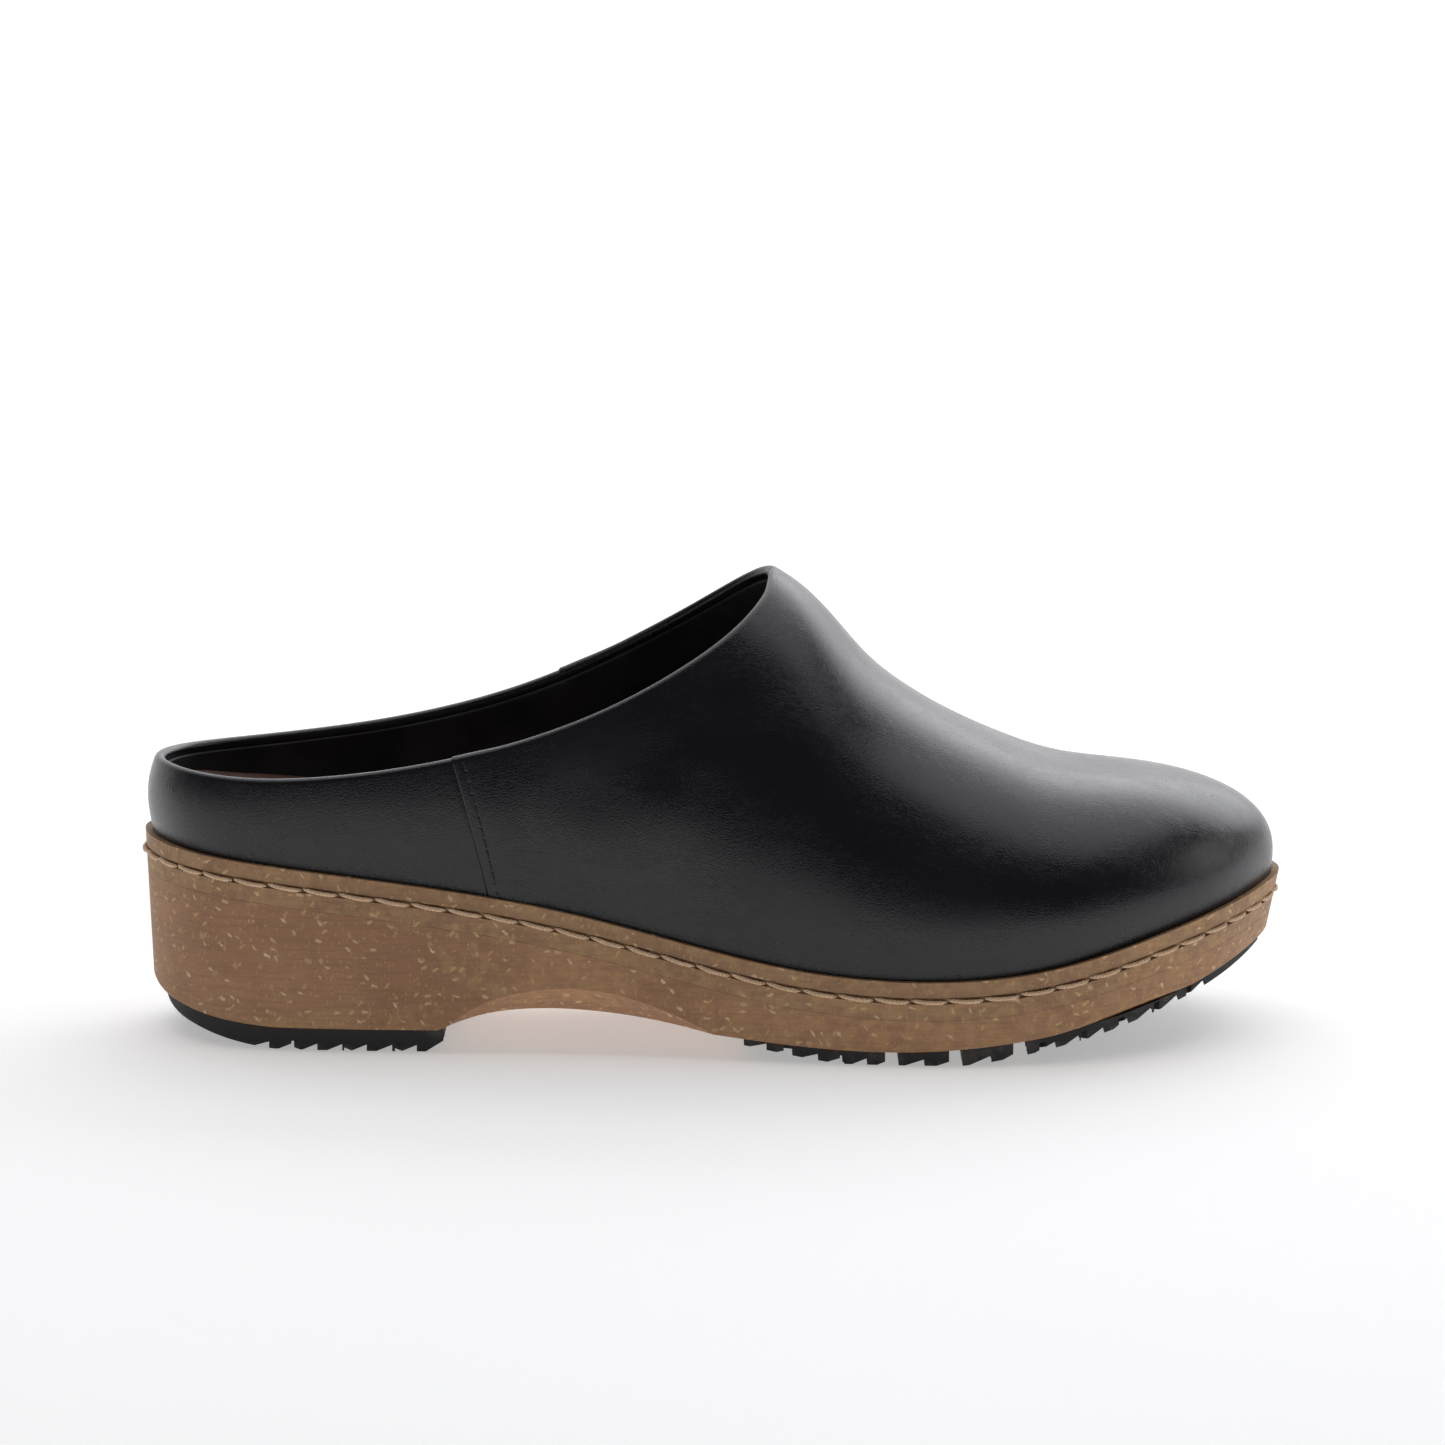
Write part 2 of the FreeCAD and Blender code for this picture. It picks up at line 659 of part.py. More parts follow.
layer_inset = size("lip_width") + size("leather") + size("stiffener") + size("lining") + 3 * GAP
board_bottom = size("leather") + GAP
board_top = board_bottom + size("board")
board_form = plan_body("board_form", layer_inset + 0.1, "Sizes.form_height")
board_space = band("board_space", SEAT.lifted(board_bottom), SEAT.lifted(board_top))
board_blank = common("board_blank", board_form, board_space)

margin_form = plan_body("margin_form", size("lip_width") + size("lasting_margin"), "Sizes.form_height")
margin_hole = common("margin_hole", margin_form, band("margin_space", SEAT.lifted(-2), SEAT.lifted(4)))
filler_form = plan_body("filler_form", size("lip_width") + size("lasting_margin") + GAP, "Sizes.form_height")
filler_space = band("filler_space", SEAT.lifted(GAP), SEAT.lifted(size("leather")))
filler_blank = common("filler_blank", filler_form, filler_space)

SHANK_REAR = -82.0


def shank_box(label, margin):
    box = doc.addObject("Part::Box", label)
    box.setExpression("Length", "Sizes.shank_length + %g" % (2 * margin))
    box.setExpression("Width", "Sizes.shank_width + %g" % (2 * margin))
    box.setExpression("Height", "Sizes.form_height")
    box.Placement.Base = V(SHANK_REAR - margin, -size("shank_width") / 2 - margin + 2.0, 0)
    return box


shank_space = band("shank_space", SEAT.lifted(2 * GAP), SEAT.lifted(2 * GAP + size("shank_thickness")))
shank_blank = common("shank_blank", shank_box("shank_outline", 0.0), shank_space)

rivets = []
for i, x in enumerate((SHANK_REAR + 9, SHANK_REAR + size("shank_length") - 9)):
    rivet = doc.addObject("Part::Cylinder", "rivet_%d" % i)
    rivet.setExpression("Radius", "Sizes.rivet_radius")
    rivet.setExpression("Height", "Sizes.form_height")
    rivet.Placement.Base = V(x, 2.0, 0)
    hole = doc.addObject("Part::Cylinder", "rivet_hole_%d" % i)
    hole.setExpression("Radius", "Sizes.rivet_radius + Sizes.glue_gap")
    hole.setExpression("Height", "Sizes.form_height")
    hole.Placement.Base = V(x, 2.0, 0)
    rivets.append((rivet, hole))
rivet_holes = together("rivet_holes", *[hole for _, hole in rivets])
rivet_space = band("rivet_space", SEAT.lifted(2 * GAP), SEAT.lifted(board_top))
rivet_stock = together("rivet_stock", *[rivet for rivet, _ in rivets])
sub_part(cut("shank_cut", shank_blank, rivet_holes), "shank")
sub_part(common("rivets_common", rivet_stock, rivet_space), "shank_rivets")
sub_part(cut("filler_cut", filler_blank, shank_box("shank_clearance", 0.3)), "bottom_filler")
sub_part(cut("board_cut", board_blank, rivet_holes), "insole_board")


def footbed_lift(x):
    """Thick under the heel, thinner under the ball."""
    share = smooth_step(x, -60, 30)
    return size("footbed_heel") + share * (size("footbed_ball") - size("footbed_heel"))


footbed_form = plan_body("footbed_form", layer_inset + 0.3, "Sizes.form_height + 10")
FOOTBED_TOP = SEAT.lifted(lambda x: board_top + footbed_lift(x))
footbed_space = band("footbed_space", SEAT.lifted(board_top + GAP), FOOTBED_TOP)
cover_space = band("cover_space", FOOTBED_TOP.lifted(GAP), FOOTBED_TOP.lifted(GAP + size("sock_cover")))
sub_part(common("footbed_common", footbed_form, footbed_space), "footbed")
sub_part(common("cover_common", footbed_form, cover_space), "sock_cover")

# ---- the upper ----

leather_depth = size("leather")
middle_depth = leather_depth + GAP + size("stiffener")
lining_depth = middle_depth + GAP + size("lining")
last_outer = feature("last_outer", last_solid(0.0))
last_leather = feature("last_leather", last_solid(leather_depth))
last_middle = feature("last_middle", last_solid(leather_depth + GAP))
last_middle_in = feature("last_middle_in", last_solid(middle_depth))
last_lining = feature("last_lining", last_solid(middle_depth + GAP))
last_inner = feature("last_inner", last_solid(lining_depth))

throat = V(13, 5, 0)


def topline_prism(label, drop):
    """Everything above the top edge, or above a line that runs a little below it."""
    line = TOPLINE.lifted(-drop).points
    prism = side_prism(label, line, [line[-1], (40, 220)], [(40, 220), (-175, 220)])
    prism.Placement = FreeCAD.Placement(V(0, 0, 0), FreeCAD.Rotation(V(0, 0, 1), size("topline_turn")), throat)
    return prism


topline_cutter = topline_prism("topline_cutter", 0.0)
inner_cutter = topline_prism("inner_cutter", size("topline_fold"))
tape_cutter = topline_prism("tape_cutter", size("topline_fold") + size("topline_tape_height"))
HIGH = Line([(-150, 230), (0, 230), (150, 230)])
above_seat = band("above_seat", SEAT.lifted(GAP), HIGH)
above_margin = band("above_margin", SEAT.lifted(leather_depth), HIGH)
above_layers = band("above_layers", SEAT.lifted(board_bottom), HIGH)


def seam_x(side, z):
    """The edge of the vamp over the heel quarter, leaning forwards towards the sole."""
    if side == LATERAL:
        return -59.2 + (68.1 - z) * 0.257
    return -36.2 + (80.0 - z) * 0.30


def seam_region(label, shift):
    """Everything behind the side seams, moved forwards by shift: one slanted block for each side."""
    blocks = []
    for side, name in ((LATERAL, "lateral"), (MEDIAL, "medial")):
        low, high = -10.0, 240.0
        corners = [(-200, low), (seam_x(side, low) + shift, low), (seam_x(side, high) + shift, high), (-200, high)]
        wire = Part.makePolygon([V(x, 0, z) for x, z in corners + corners[:1]])
        block = Part.Face(wire).extrude(V(0, side * 150, 0))
        blocks.append(feature("%s_%s" % (label, name), block))
    return join(label, *blocks)


behind_seam = seam_region("behind_seam", 0.0)
behind_lap = seam_region("behind_lap", size("seam_lap"))
behind_step = seam_region("behind_step", -2.5)
behind_interlining = seam_region("behind_interlining", size("seam_lap") + GAP)

# outer leather, with its lasting margin turned in under the board
leather_block = cut("leather_block", common("leather_whole", last_outer, above_seat), topline_cutter)
leather_hollow = common("leather_hollow", last_leather, above_margin)
leather_shell = cut("leather_shell", cut("leather_walls", leather_block, leather_hollow), margin_hole)
vamp_leather = cut("vamp_leather", leather_shell, behind_seam)
sub_part(vamp_leather, "vamp")

# middle layer: stiffeners, interlining and topline tape
middle_block = cut("middle_block", common("middle_whole", last_middle, above_layers), last_middle_in)
middle_layer = cut("middle_layer", middle_block, inner_cutter)
below_tape = cut("below_tape", middle_layer, tape_cutter)

# heel quarter: outer leather behind the seam, with a skived lap that runs on under the vamp
quarter_leather = common("quarter_leather", leather_shell, behind_seam)
step_zone = cut("step_zone", behind_seam, behind_step)
quarter_block = cut("quarter_block", common("quarter_whole", last_outer, above_layers), last_middle_in)
step_solid = common("step_solid", cut("quarter_open", quarter_block, topline_cutter), step_zone)
lap_zone = cut("lap_zone", behind_lap, behind_step)
lap_solid = common("lap_solid", middle_layer, lap_zone)
sub_part(join("quarter_fuse", quarter_leather, step_solid, lap_solid), "heel_quarter")

behind_counter = seam_region("behind_counter", -2.5 - GAP)
rear_middle = common("rear_middle", below_tape, behind_counter)
sub_part(rear_middle, "heel_counter")
front_middle = cut("front_middle", middle_layer, behind_interlining)
PUFF_REAR = 74.0
puff_zone = side_prism("puff_zone", [(PUFF_REAR + 12, -10), (PUFF_REAR - 10, 80)], [(PUFF_REAR - 10, 80), (200, 80)], [(200, 80), (200, -10)])
sub_part(common("puff_common", front_middle, puff_zone), "toe_puff")
front_free = cut("front_free", front_middle, puff_zone)
sub_part(cut("interlining_cut", front_free, tape_cutter), "vamp_interlining")
tape_front = common("tape_front", front_free, tape_cutter)
tape_rear = common("tape_rear", common("rear_ring", middle_layer, behind_counter), tape_cutter)
sub_part(tape_front, "vamp_topline_tape")
sub_part(tape_rear, "quarter_topline_tape")

# lining in two pieces, joined under the seams
lining_block = cut("lining_block", common("lining_whole", last_lining, above_layers), last_inner)
lining_layer = cut("lining_layer", lining_block, inner_cutter)
sub_part(cut("vamp_lining_cut", lining_layer, behind_seam), "vamp_lining")
sub_part(common("quarter_lining_common", lining_layer, behind_seam), "quarter_lining")

# ---- threads ----


def thread_run(start, end, radius):
    """One visible stitch: a short straight run of thread, eight-sided."""
    run = end - start
    turns = [math.pi / 4 * i for i in range(8)]
    section = Part.makePolygon([V(radius * math.cos(t), radius * math.sin(t), 0) for t in turns + turns[:1]])
    rod = Part.Face(section).extrude(V(0, 0, run.Length))
    rod.Placement = FreeCAD.Placement(start, FreeCAD.Rotation(V(0, 0, 1), run))
    return rod


def welt_stitches():
    """Stitches in the welt's groove, evenly spaced all the way round."""
    fine = inset_outline(0.0).toShape().discretize(Number=2400)
    radius = size("welt_thread_radius")
    middle = V(0, 0, 0)
    places = []
    for i, p in enumerate(fine[:-1]):
        tangent = (fine[i + 1] - p).normalize()
        normal = V(tangent.y, -tangent.x, 0)
        if normal.dot(p - middle) < 0:
            normal = normal * -1
        z = RIM.at(p.x) - size("stitch_drop")
        depth = wall_depth(p.x, z) + size("groove_depth") - radius - 2 * GAP
        q = p - normal * depth
        places.append(V(q.x, q.y, z))
    places.append(places[0])
    reach = [0.0]
    for a, b in zip(places, places[1:]):
        reach.append(reach[-1] + (b - a).Length)
    count = round(reach[-1] / size("welt_stitch_pitch"))
    pitch = reach[-1] / count

    def at(distance):
        i = max(bisect.bisect_left(reach, distance % reach[-1]), 1)
        share = (distance % reach[-1] - reach[i - 1]) / (reach[i] - reach[i - 1])
        return places[i - 1] + (places[i] - places[i - 1]) * share

    stitches = []
    for i in range(count):
        stitches.append(thread_run(at(i * pitch), at(i * pitch + size("welt_stitch")), radius))
    return Part.makeCompound(stitches)


def side_point(side, x, z, proud):
    """A point on the upper's outer side at x and height z, pushed out by proud."""
    low, high = 0.0, 1.0
    heel, toe = FEATHER.heel, FEATHER.toe
    middle, reach = (heel.x + toe.x) / 2, (toe.x - heel.x) / 2
    along = math.acos((middle - x) / reach) / math.pi
    for _ in range(40):
        up = (low + high) / 2
        if rib_point(side, along, up).z < z:
            low = up
        else:
            high = up
    return rib_point(side, along, up) + rib_normal(side, along, up) * proud


def seam_stitches(side, top_z):
    """A row of short stitches on the vamp, just in front of its edge."""
    radius = size("seam_thread_radius")
    ahead = size("seam_margin")
    z = top_z
    foot_z = RIM.at(seam_x(side, 35)) + 0.8
    stitches = []
    while z - size("seam_stitch") > foot_z:
        ends = [side_point(side, seam_x(side, h) + ahead, h, radius) for h in (z, z - size("seam_stitch"))]
        stitches.append(thread_run(ends[0], ends[1], radius))
        z -= size("seam_stitch_pitch")
    return Part.makeCompound(stitches)


sub_part(feature("welt_thread_run", welt_stitches()), "welt_thread")
sub_part(feature("lateral_seam_run", seam_stitches(LATERAL, 66.6)), "lateral_seam_thread")
sub_part(feature("medial_seam_run", seam_stitches(MEDIAL, 77.8)), "medial_seam_thread")

# ---- build, check and write ----

doc.recompute()
failed = [o.Label for o in doc.Objects if "Invalid" in o.State or "Error" in o.State]
if failed:
    raise SystemExit("these objects failed: %s" % ", ".join(failed))

os.makedirs("parts", exist_ok=True)
for part in PARTS:
    shape = part.Shape
    if shape.isNull() or not shape.isValid() or not shape.Solids:
        raise SystemExit("%s has no valid solid" % part.Label)
    solid = Part.makeCompound(shape.Solids) if len(shape.Solids) > 1 else shape.Solids[0]
    solid.exportStep("parts/%s.step" % part.Label)
    box = solid.BoundBox
    print("%-24s solids %3d  volume %9.1f  x %7.1f %7.1f  y %6.1f %6.1f  z %6.1f %6.1f" % (
        part.Label, len(solid.Solids), solid.Volume, box.XMin, box.XMax, box.YMin, box.YMax, box.ZMin, box.ZMax))
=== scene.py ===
import math
import random

import bmesh
import bpy
import numpy as np
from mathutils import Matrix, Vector


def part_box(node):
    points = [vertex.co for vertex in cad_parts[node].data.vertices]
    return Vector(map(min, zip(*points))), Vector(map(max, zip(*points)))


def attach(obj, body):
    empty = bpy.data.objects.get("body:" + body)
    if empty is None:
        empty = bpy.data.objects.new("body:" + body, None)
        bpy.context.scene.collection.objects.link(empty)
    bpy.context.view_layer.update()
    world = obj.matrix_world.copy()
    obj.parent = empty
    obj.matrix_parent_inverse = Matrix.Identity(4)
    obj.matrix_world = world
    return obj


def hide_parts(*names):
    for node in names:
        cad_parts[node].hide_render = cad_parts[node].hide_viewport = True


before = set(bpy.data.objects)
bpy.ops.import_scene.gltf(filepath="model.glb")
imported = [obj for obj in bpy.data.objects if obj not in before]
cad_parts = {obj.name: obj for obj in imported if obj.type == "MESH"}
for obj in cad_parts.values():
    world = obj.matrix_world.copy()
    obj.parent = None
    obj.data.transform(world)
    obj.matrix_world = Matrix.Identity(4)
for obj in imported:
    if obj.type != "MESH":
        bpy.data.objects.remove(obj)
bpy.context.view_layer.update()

mm = 0.001
lateral, medial = -1, 1        # the outer side of this right shoe faces -Y
random.seed(11)
print("frame loaded")


# ---- the shoe's form: millimetres, x from heel to toe, z up ----

formLines = {
    "rim": [(-150.1, 48.14), (-134, 46.8), (-96.5, 43.05), (-67, 39.43), (-37, 34.39), (-10.05, 28.04),
            (17, 22.28), (46.9, 20), (77.05, 22.32), (105.1, 28.96), (134, 36), (150.1, 39.52)],
    "ridge": [(-150, 82), (-110, 92), (-80, 103), (-50, 114), (-20, 120), (-3, 117), (13, 109), (21, 103.6),
              (28, 96.6), (36, 87.6), (46, 79.4), (58, 72.4), (70, 66.9), (80, 63.4), (90, 61.9),
              (105, 61.2), (134, 60.6)],
    "ridgeSide": [(-150, 3), (-60, 4), (12, 5), (60, 6.5), (100, 8), (150, 9.5)],
    "squareness": [(-150, 2.3), (-60, 2.2), (-10, 2.05), (25, 2.05), (60, 2.35), (90, 2.8), (134, 3.2), (150, 3.2)],
    "bulge": [(-150, 1.8), (-120, 1.9), (-60, 2.3), (20, 2.4), (70, 2.2), (105, 1.3), (134, 0.5), (150, 0.5)],
    "topline": [(-175, 70), (-150, 66.8), (-131, 65), (-112, 64), (-90, 65.3), (-70, 68.4), (-50, 73.4),
                (-30, 81), (-12, 90.4), (2, 99.3), (13, 108), (24, 118), (40, 134)],
}
outlineShares = [
    (-1.0, 0.06), (-0.965, -0.27), (-0.87, -0.545), (-0.70, -0.68), (-0.45, -0.72), (-0.15, -0.775),
    (0.15, -0.925), (0.38, -1.0), (0.58, -0.945), (0.75, -0.75), (0.885, -0.46), (0.972, -0.10),
    (1.0, 0.20), (0.972, 0.52), (0.885, 0.79), (0.72, 0.955), (0.50, 1.0), (0.25, 0.93),
    (-0.05, 0.775), (-0.35, 0.705), (-0.65, 0.735), (-0.85, 0.665), (-0.965, 0.40),
]
formFacts = {
    "lip": 1.8,                     # how far inside the welt's edge the leather stands
    "toePivot": 62.0, "toeEase": 28.0,
    "heelPivot": -72.0, "heelEase": 30.0,
    "toplineTurn": math.radians(10), "toplineCentre": (13.0, 5.0), "tipFade": 16.0,
}


def through(points):
    # a smooth curve z(x) through the points
    xs, zs = np.array(points, float).T
    n, h = len(xs), np.diff(xs)
    a, b = np.zeros((n, n)), np.zeros(n)
    a[0, 0] = a[-1, -1] = 1
    for i in range(1, n - 1):
        a[i, i - 1:i + 2] = h[i - 1], 2 * (h[i - 1] + h[i]), h[i]
        b[i] = 6 * ((zs[i + 1] - zs[i]) / h[i] - (zs[i] - zs[i - 1]) / h[i - 1])
    m = np.linalg.solve(a, b)

    def at(x):
        x = np.clip(x, xs[0], xs[-1])
        i = np.clip(np.searchsorted(xs, x) - 1, 0, n - 2)
        t, u, k = x - xs[i], xs[i + 1] - x, h[i]
        bend = (m[i] * u ** 3 + m[i + 1] * t ** 3) / (6 * k)
        return bend + (zs[i] / k - m[i] * k / 6) * u + (zs[i + 1] / k - m[i + 1] * k / 6) * t

    return at


def smoothStep(x, low, high):
    t = np.clip((x - low) / (high - low), 0, 1)
    return t * t * (3 - 2 * t)


rim, ridge, ridgeSide, squareness, bulge, topline = (
    through(formLines[k]) for k in ("rim", "ridge", "ridgeSide", "squareness", "bulge", "topline")
)


def traceOutline(samples=2400):
    # the shoe's plan outline and its outward normals, sized to the welt
    p = np.array(outlineShares)
    n = len(p)
    a = np.zeros((n, n))
    for i in range(n):
        a[i, i] = 4
        a[i, (i - 1) % n] = a[i, (i + 1) % n] = 1
    m = np.linalg.solve(a, 6 * (np.roll(p, 1, 0) - 2 * p + np.roll(p, -1, 0)))
    t = np.linspace(0, n, samples, endpoint=False)
    i = t.astype(int)
    u = (t - i)[:, None]
    v = 1 - u
    j = (i + 1) % n
    xy = v * p[i] + u * p[j] + (v ** 3 - v) * m[i] / 6 + (u ** 3 - u) * m[j] / 6
    low, high = xy.min(0), xy.max(0)
    weltLow, weltHigh = (np.array(c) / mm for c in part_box("welt"))
    xy = (2 * (xy - low) / (high - low) - 1) * (weltHigh - weltLow)[:2] / 2
    d = np.roll(xy, -1, 0) - np.roll(xy, 1, 0)
    normal = np.stack([d[:, 1], -d[:, 0]], 1)
    normal /= np.linalg.norm(normal, axis=1)[:, None]
    if (normal * xy).sum() < 0:
        normal = -normal
    return xy, normal


outline, outlineNormal = traceOutline()


def insetSides(inset):
    # the two sides of an inset outline as y over x, with its ends
    p = outline - outlineNormal * inset
    p = np.roll(p, -int(p[:, 0].argmin()), 0)
    p = np.vstack([p, p[:1]])
    toe = int(p[:, 0].argmax())
    one, other = p[:toe + 1], p[toe:][::-1]
    if one[len(one) // 2, 1] > other[len(other) // 2, 1]:
        one, other = other, one
    return {lateral: one, medial: other, "heel": one[0], "toe": one[-1]}


feather = insetSides(formFacts["lip"])
footMiddle = (feather["heel"][0] + feather["toe"][0]) / 2
footReach = (feather["toe"][0] - feather["heel"][0]) / 2


def alongOf(x):
    return np.arccos(np.clip((footMiddle - x) / footReach, -1, 1)) / np.pi


def upperPoint(side, along, up):
    # a point of the upper's outer face: along runs from heel to toe, up from the rim to the ridge
    x = footMiddle - footReach * np.cos(np.pi * along)
    y = np.interp(x, feather[side][:, 0], feather[side][:, 1])
    pivot, ease = formFacts["toePivot"], formFacts["toeEase"]
    topX = np.where(x > pivot, pivot + ease * (1 - np.exp(-np.maximum(x - pivot, 0) / ease)), x)
    pivot, ease = formFacts["heelPivot"], formFacts["heelEase"]
    topX = np.where(x < pivot, pivot - ease * (1 - np.exp(np.minimum(x - pivot, 0) / ease)), topX)
    topY, topZ = ridgeSide(topX), ridge(topX)
    power, angle = 2 / squareness(x), np.pi / 2 * up
    rise = np.sin(angle) ** power
    inward = 1 - np.maximum(np.cos(angle), 0) ** power
    px, py = x + (topX - x) * inward, y + (topY - y) * inward
    slope = np.where(np.abs(topX - x) > 1e-9, ridge(topX + 0.5) - ridge(topX - 0.5), 0)
    pz = rim(x) + (topZ + slope * (px - topX) - rim(x)) * rise
    out = np.stack([x - topX, y - topY], -1)
    out = out / np.maximum(np.linalg.norm(out, axis=-1, keepdims=True), 1e-9)
    swell = bulge(x) * np.sin(np.pi * rise ** 0.7) ** 2
    return np.stack([px + out[..., 0] * swell, py + out[..., 1] * swell, pz], -1)


def toplineGap(p, drop):
    # how far a point lies above the top edge, which is turned a little about the throat; on the outer
    # side the turn fades out beside the ridge, so that the tip of the opening is on it
    cx, cy = formFacts["toplineCentre"]
    turn = formFacts["toplineTurn"]
    dy = p[..., 1] - cy
    beside = np.where(dy < 0, smoothStep(-dy, 0, formFacts["tipFade"]), 1.0)
    x = cx + (p[..., 0] - cx) * math.cos(turn) + dy * math.sin(turn) * beside
    slope = topline(x + 0.5) - topline(x - 0.5)
    return p[..., 2] - topline(x) + drop * np.sqrt(1 + slope ** 2)


def topOf(side, along, drop):
    # how far up each rib runs before it meets the top edge
    low, high = np.zeros_like(along), np.ones_like(along)
    opened = toplineGap(upperPoint(side, along, high), drop) > 0
    for _ in range(36):
        mid = (low + high) / 2
        over = toplineGap(upperPoint(side, along, mid), drop) > 0
        high, low = np.where(over, mid, high), np.where(over, low, mid)
    return np.where(opened, (low + high) / 2, 1.0)


# ---- mesh helpers ----


def makePiece(name, verts, faces, mats, uv=None):
    mesh = bpy.data.meshes.new(name)
    mesh.from_pydata((np.asarray(verts) * mm).tolist(), [], faces)
    for layer, coords in (uv or {}).items():
        data = mesh.uv_layers.new(name=layer).data
        loops = np.empty(len(mesh.loops), int)
        mesh.loops.foreach_get("vertex_index", loops)
        data.foreach_set("uv", np.asarray(coords, float)[loops].ravel())
    mesh.shade_smooth()
    for m in mats:
        mesh.materials.append(m)
    piece = bpy.data.objects.new(name, mesh)
    bpy.context.scene.collection.objects.link(piece)
    return piece


def gridFaces(ids):
    # quads over a grid of vertex numbers, leaving out collapsed corners
    faces = []
    for c in range(len(ids) - 1):
        for r in range(len(ids[c]) - 1):
            q = [ids[c][r], ids[c + 1][r], ids[c + 1][r + 1], ids[c][r + 1]]
            q = list(dict.fromkeys(int(v) for v in q))
            if len(q) > 2:
                faces.append(q)
    return faces


def vertexNormals(verts, faces):
    normal = np.zeros_like(verts)
    for size in (3, 4):
        f = np.array([q for q in faces if len(q) == size])
        if len(f) == 0:
            continue
        n = np.cross(verts[f[:, 2]] - verts[f[:, 0]], verts[f[:, -1]] - verts[f[:, 1]])
        for k in range(size):
            np.add.at(normal, f[:, k], n)
    return normal / np.maximum(np.linalg.norm(normal, axis=1, keepdims=True), 1e-12)


# ---- the upper ----

upperFacts = {
    "rows": 84,                 # rows of the leather from rim to top edge
    "foldRadius": 1.35,         # half the thickness of the folded top edge
    "foldTail": 5.0,            # how far the fold runs down inside
    "seamFoot": {lateral: -51.3, medial: -22.0},
    "seamTop": {lateral: -59.2, medial: -36.2},
    "seamEase": {lateral: 58.0, medial: 32.0},
    "seamLift": 0.55,           # how far the vamp stands up over the quarter
    "lap": 7.0,                 # the quarter's hidden edge under the vamp
    "liningDepth": 2.78, "liningThick": 0.8, "liningDrop": 2.2,
}

# soft dents and swells of worn-in leather: place, reach and height in millimetres
dents = [
    ((-12, -36, 70), 8, -0.6), ((-3, -35, 70), 7, 0.6), ((6, -32, 80), 9, -0.5), ((-8, -38, 58), 10, 0.3),
    ((16, -30, 72), 10, 0.35), ((-28, -37, 62), 10, -0.35), ((18, 26, 84), 10, -0.4), ((-4, 33, 78), 9, 0.35),
    ((-14, 36, 64), 11, -0.45), ((48, -38, 46), 16, -0.3), ((68, -40, 38), 12, 0.2), ((52, 38, 50), 16, -0.35),
    ((84, -34, 50), 12, -0.2), ((-92, -34, 56), 12, -0.2), ((-78, 32, 58), 12, -0.2), ((38, 4, 88), 12, -0.25),
    ((60, 30, 62), 10, 0.2), ((30, -36, 52), 10, -0.2),
]


def seamShift(side, x, v):
    # how far a column leans back as it rises, so that one column follows the slanted seam
    foot, top = upperFacts["seamFoot"][side], upperFacts["seamTop"][side]
    ease = upperFacts["seamEase"][side]
    hold = 1 - smoothStep(np.abs(x - foot), 6, ease)
    return (top - foot) * v * hold


def upperColumns(side, xs, rows, drop):
    # columns of points of the outer face, from the rim to the top edge; only the upper rows follow
    # the edge closely, so that the lower ones run evenly past the throat
    v = np.linspace(0, 1, rows + 1)
    x = np.asarray(xs, float)[:, None]
    xTop = x + seamShift(side, x, 1.0)
    upTop = topOf(side, alongOf(xTop), drop)
    near = np.linspace(-14, 14, 11)
    weight = np.exp(-(near / 8) ** 2)
    calm = (topOf(side, alongOf(xTop + near), drop) * weight).sum(1, keepdims=True) / weight.sum()
    up = v * (calm + (upTop - calm) * v ** 4)
    return list(upperPoint(side, alongOf(x + seamShift(side, x, v)), up))


def addDents(p, normal):
    moved = p.copy()
    for place, reach, height in dents:
        d2 = ((p - np.array(place)) ** 2).sum(1)
        moved += normal * (height * np.exp(-d2 / (2 * (reach * 0.55) ** 2)))[:, None]
    return moved


def throatX(drop):
    xs = np.linspace(5, 20, 600)
    p = upperPoint(lateral, alongOf(xs), np.ones_like(xs))
    return xs[np.argmax(toplineGap(p, drop) < 0)]


def stations(start, end, gapStart, gapEnd):
    # x places whose spacing goes evenly from one gap to the other
    n = max(int(abs(end - start) / ((gapStart + gapEnd) / 2)), 2)
    t = np.linspace(0, 1, n + 1)
    share = gapStart / (gapStart + gapEnd) * 2
    return start + (end - start) * (share * t + (1 - share) * t * t)


def toeStations(start, end, count):
    a = np.linspace(alongOf(start), alongOf(end), count + 1)
    return footMiddle - footReach * np.cos(np.pi * a)


def edgeRoll(verts, normal, line, away, radius, start, sweep, steps):
    # rows that roll an edge over: line holds vertex numbers, away points off the sheet
    rows = []
    centre = verts[line] - normal[line] * radius[:, None]
    for k in range(1, steps + 1):
        a = start + sweep * k / steps
        rows.append(centre + radius[:, None] * (normal[line] * math.cos(a) + away * math.sin(a)))
    return rows


def awayFrom(verts, normal, line, inside):
    # the direction in the sheet, square to its edge, that leads off it
    edge = np.gradient(verts[line], axis=0)
    away = np.cross(edge, normal[line])
    away /= np.maximum(np.linalg.norm(away, axis=1, keepdims=True), 1e-9)
    back = verts[line] - verts[inside]
    return -away if (away * back).sum() < 0 else away


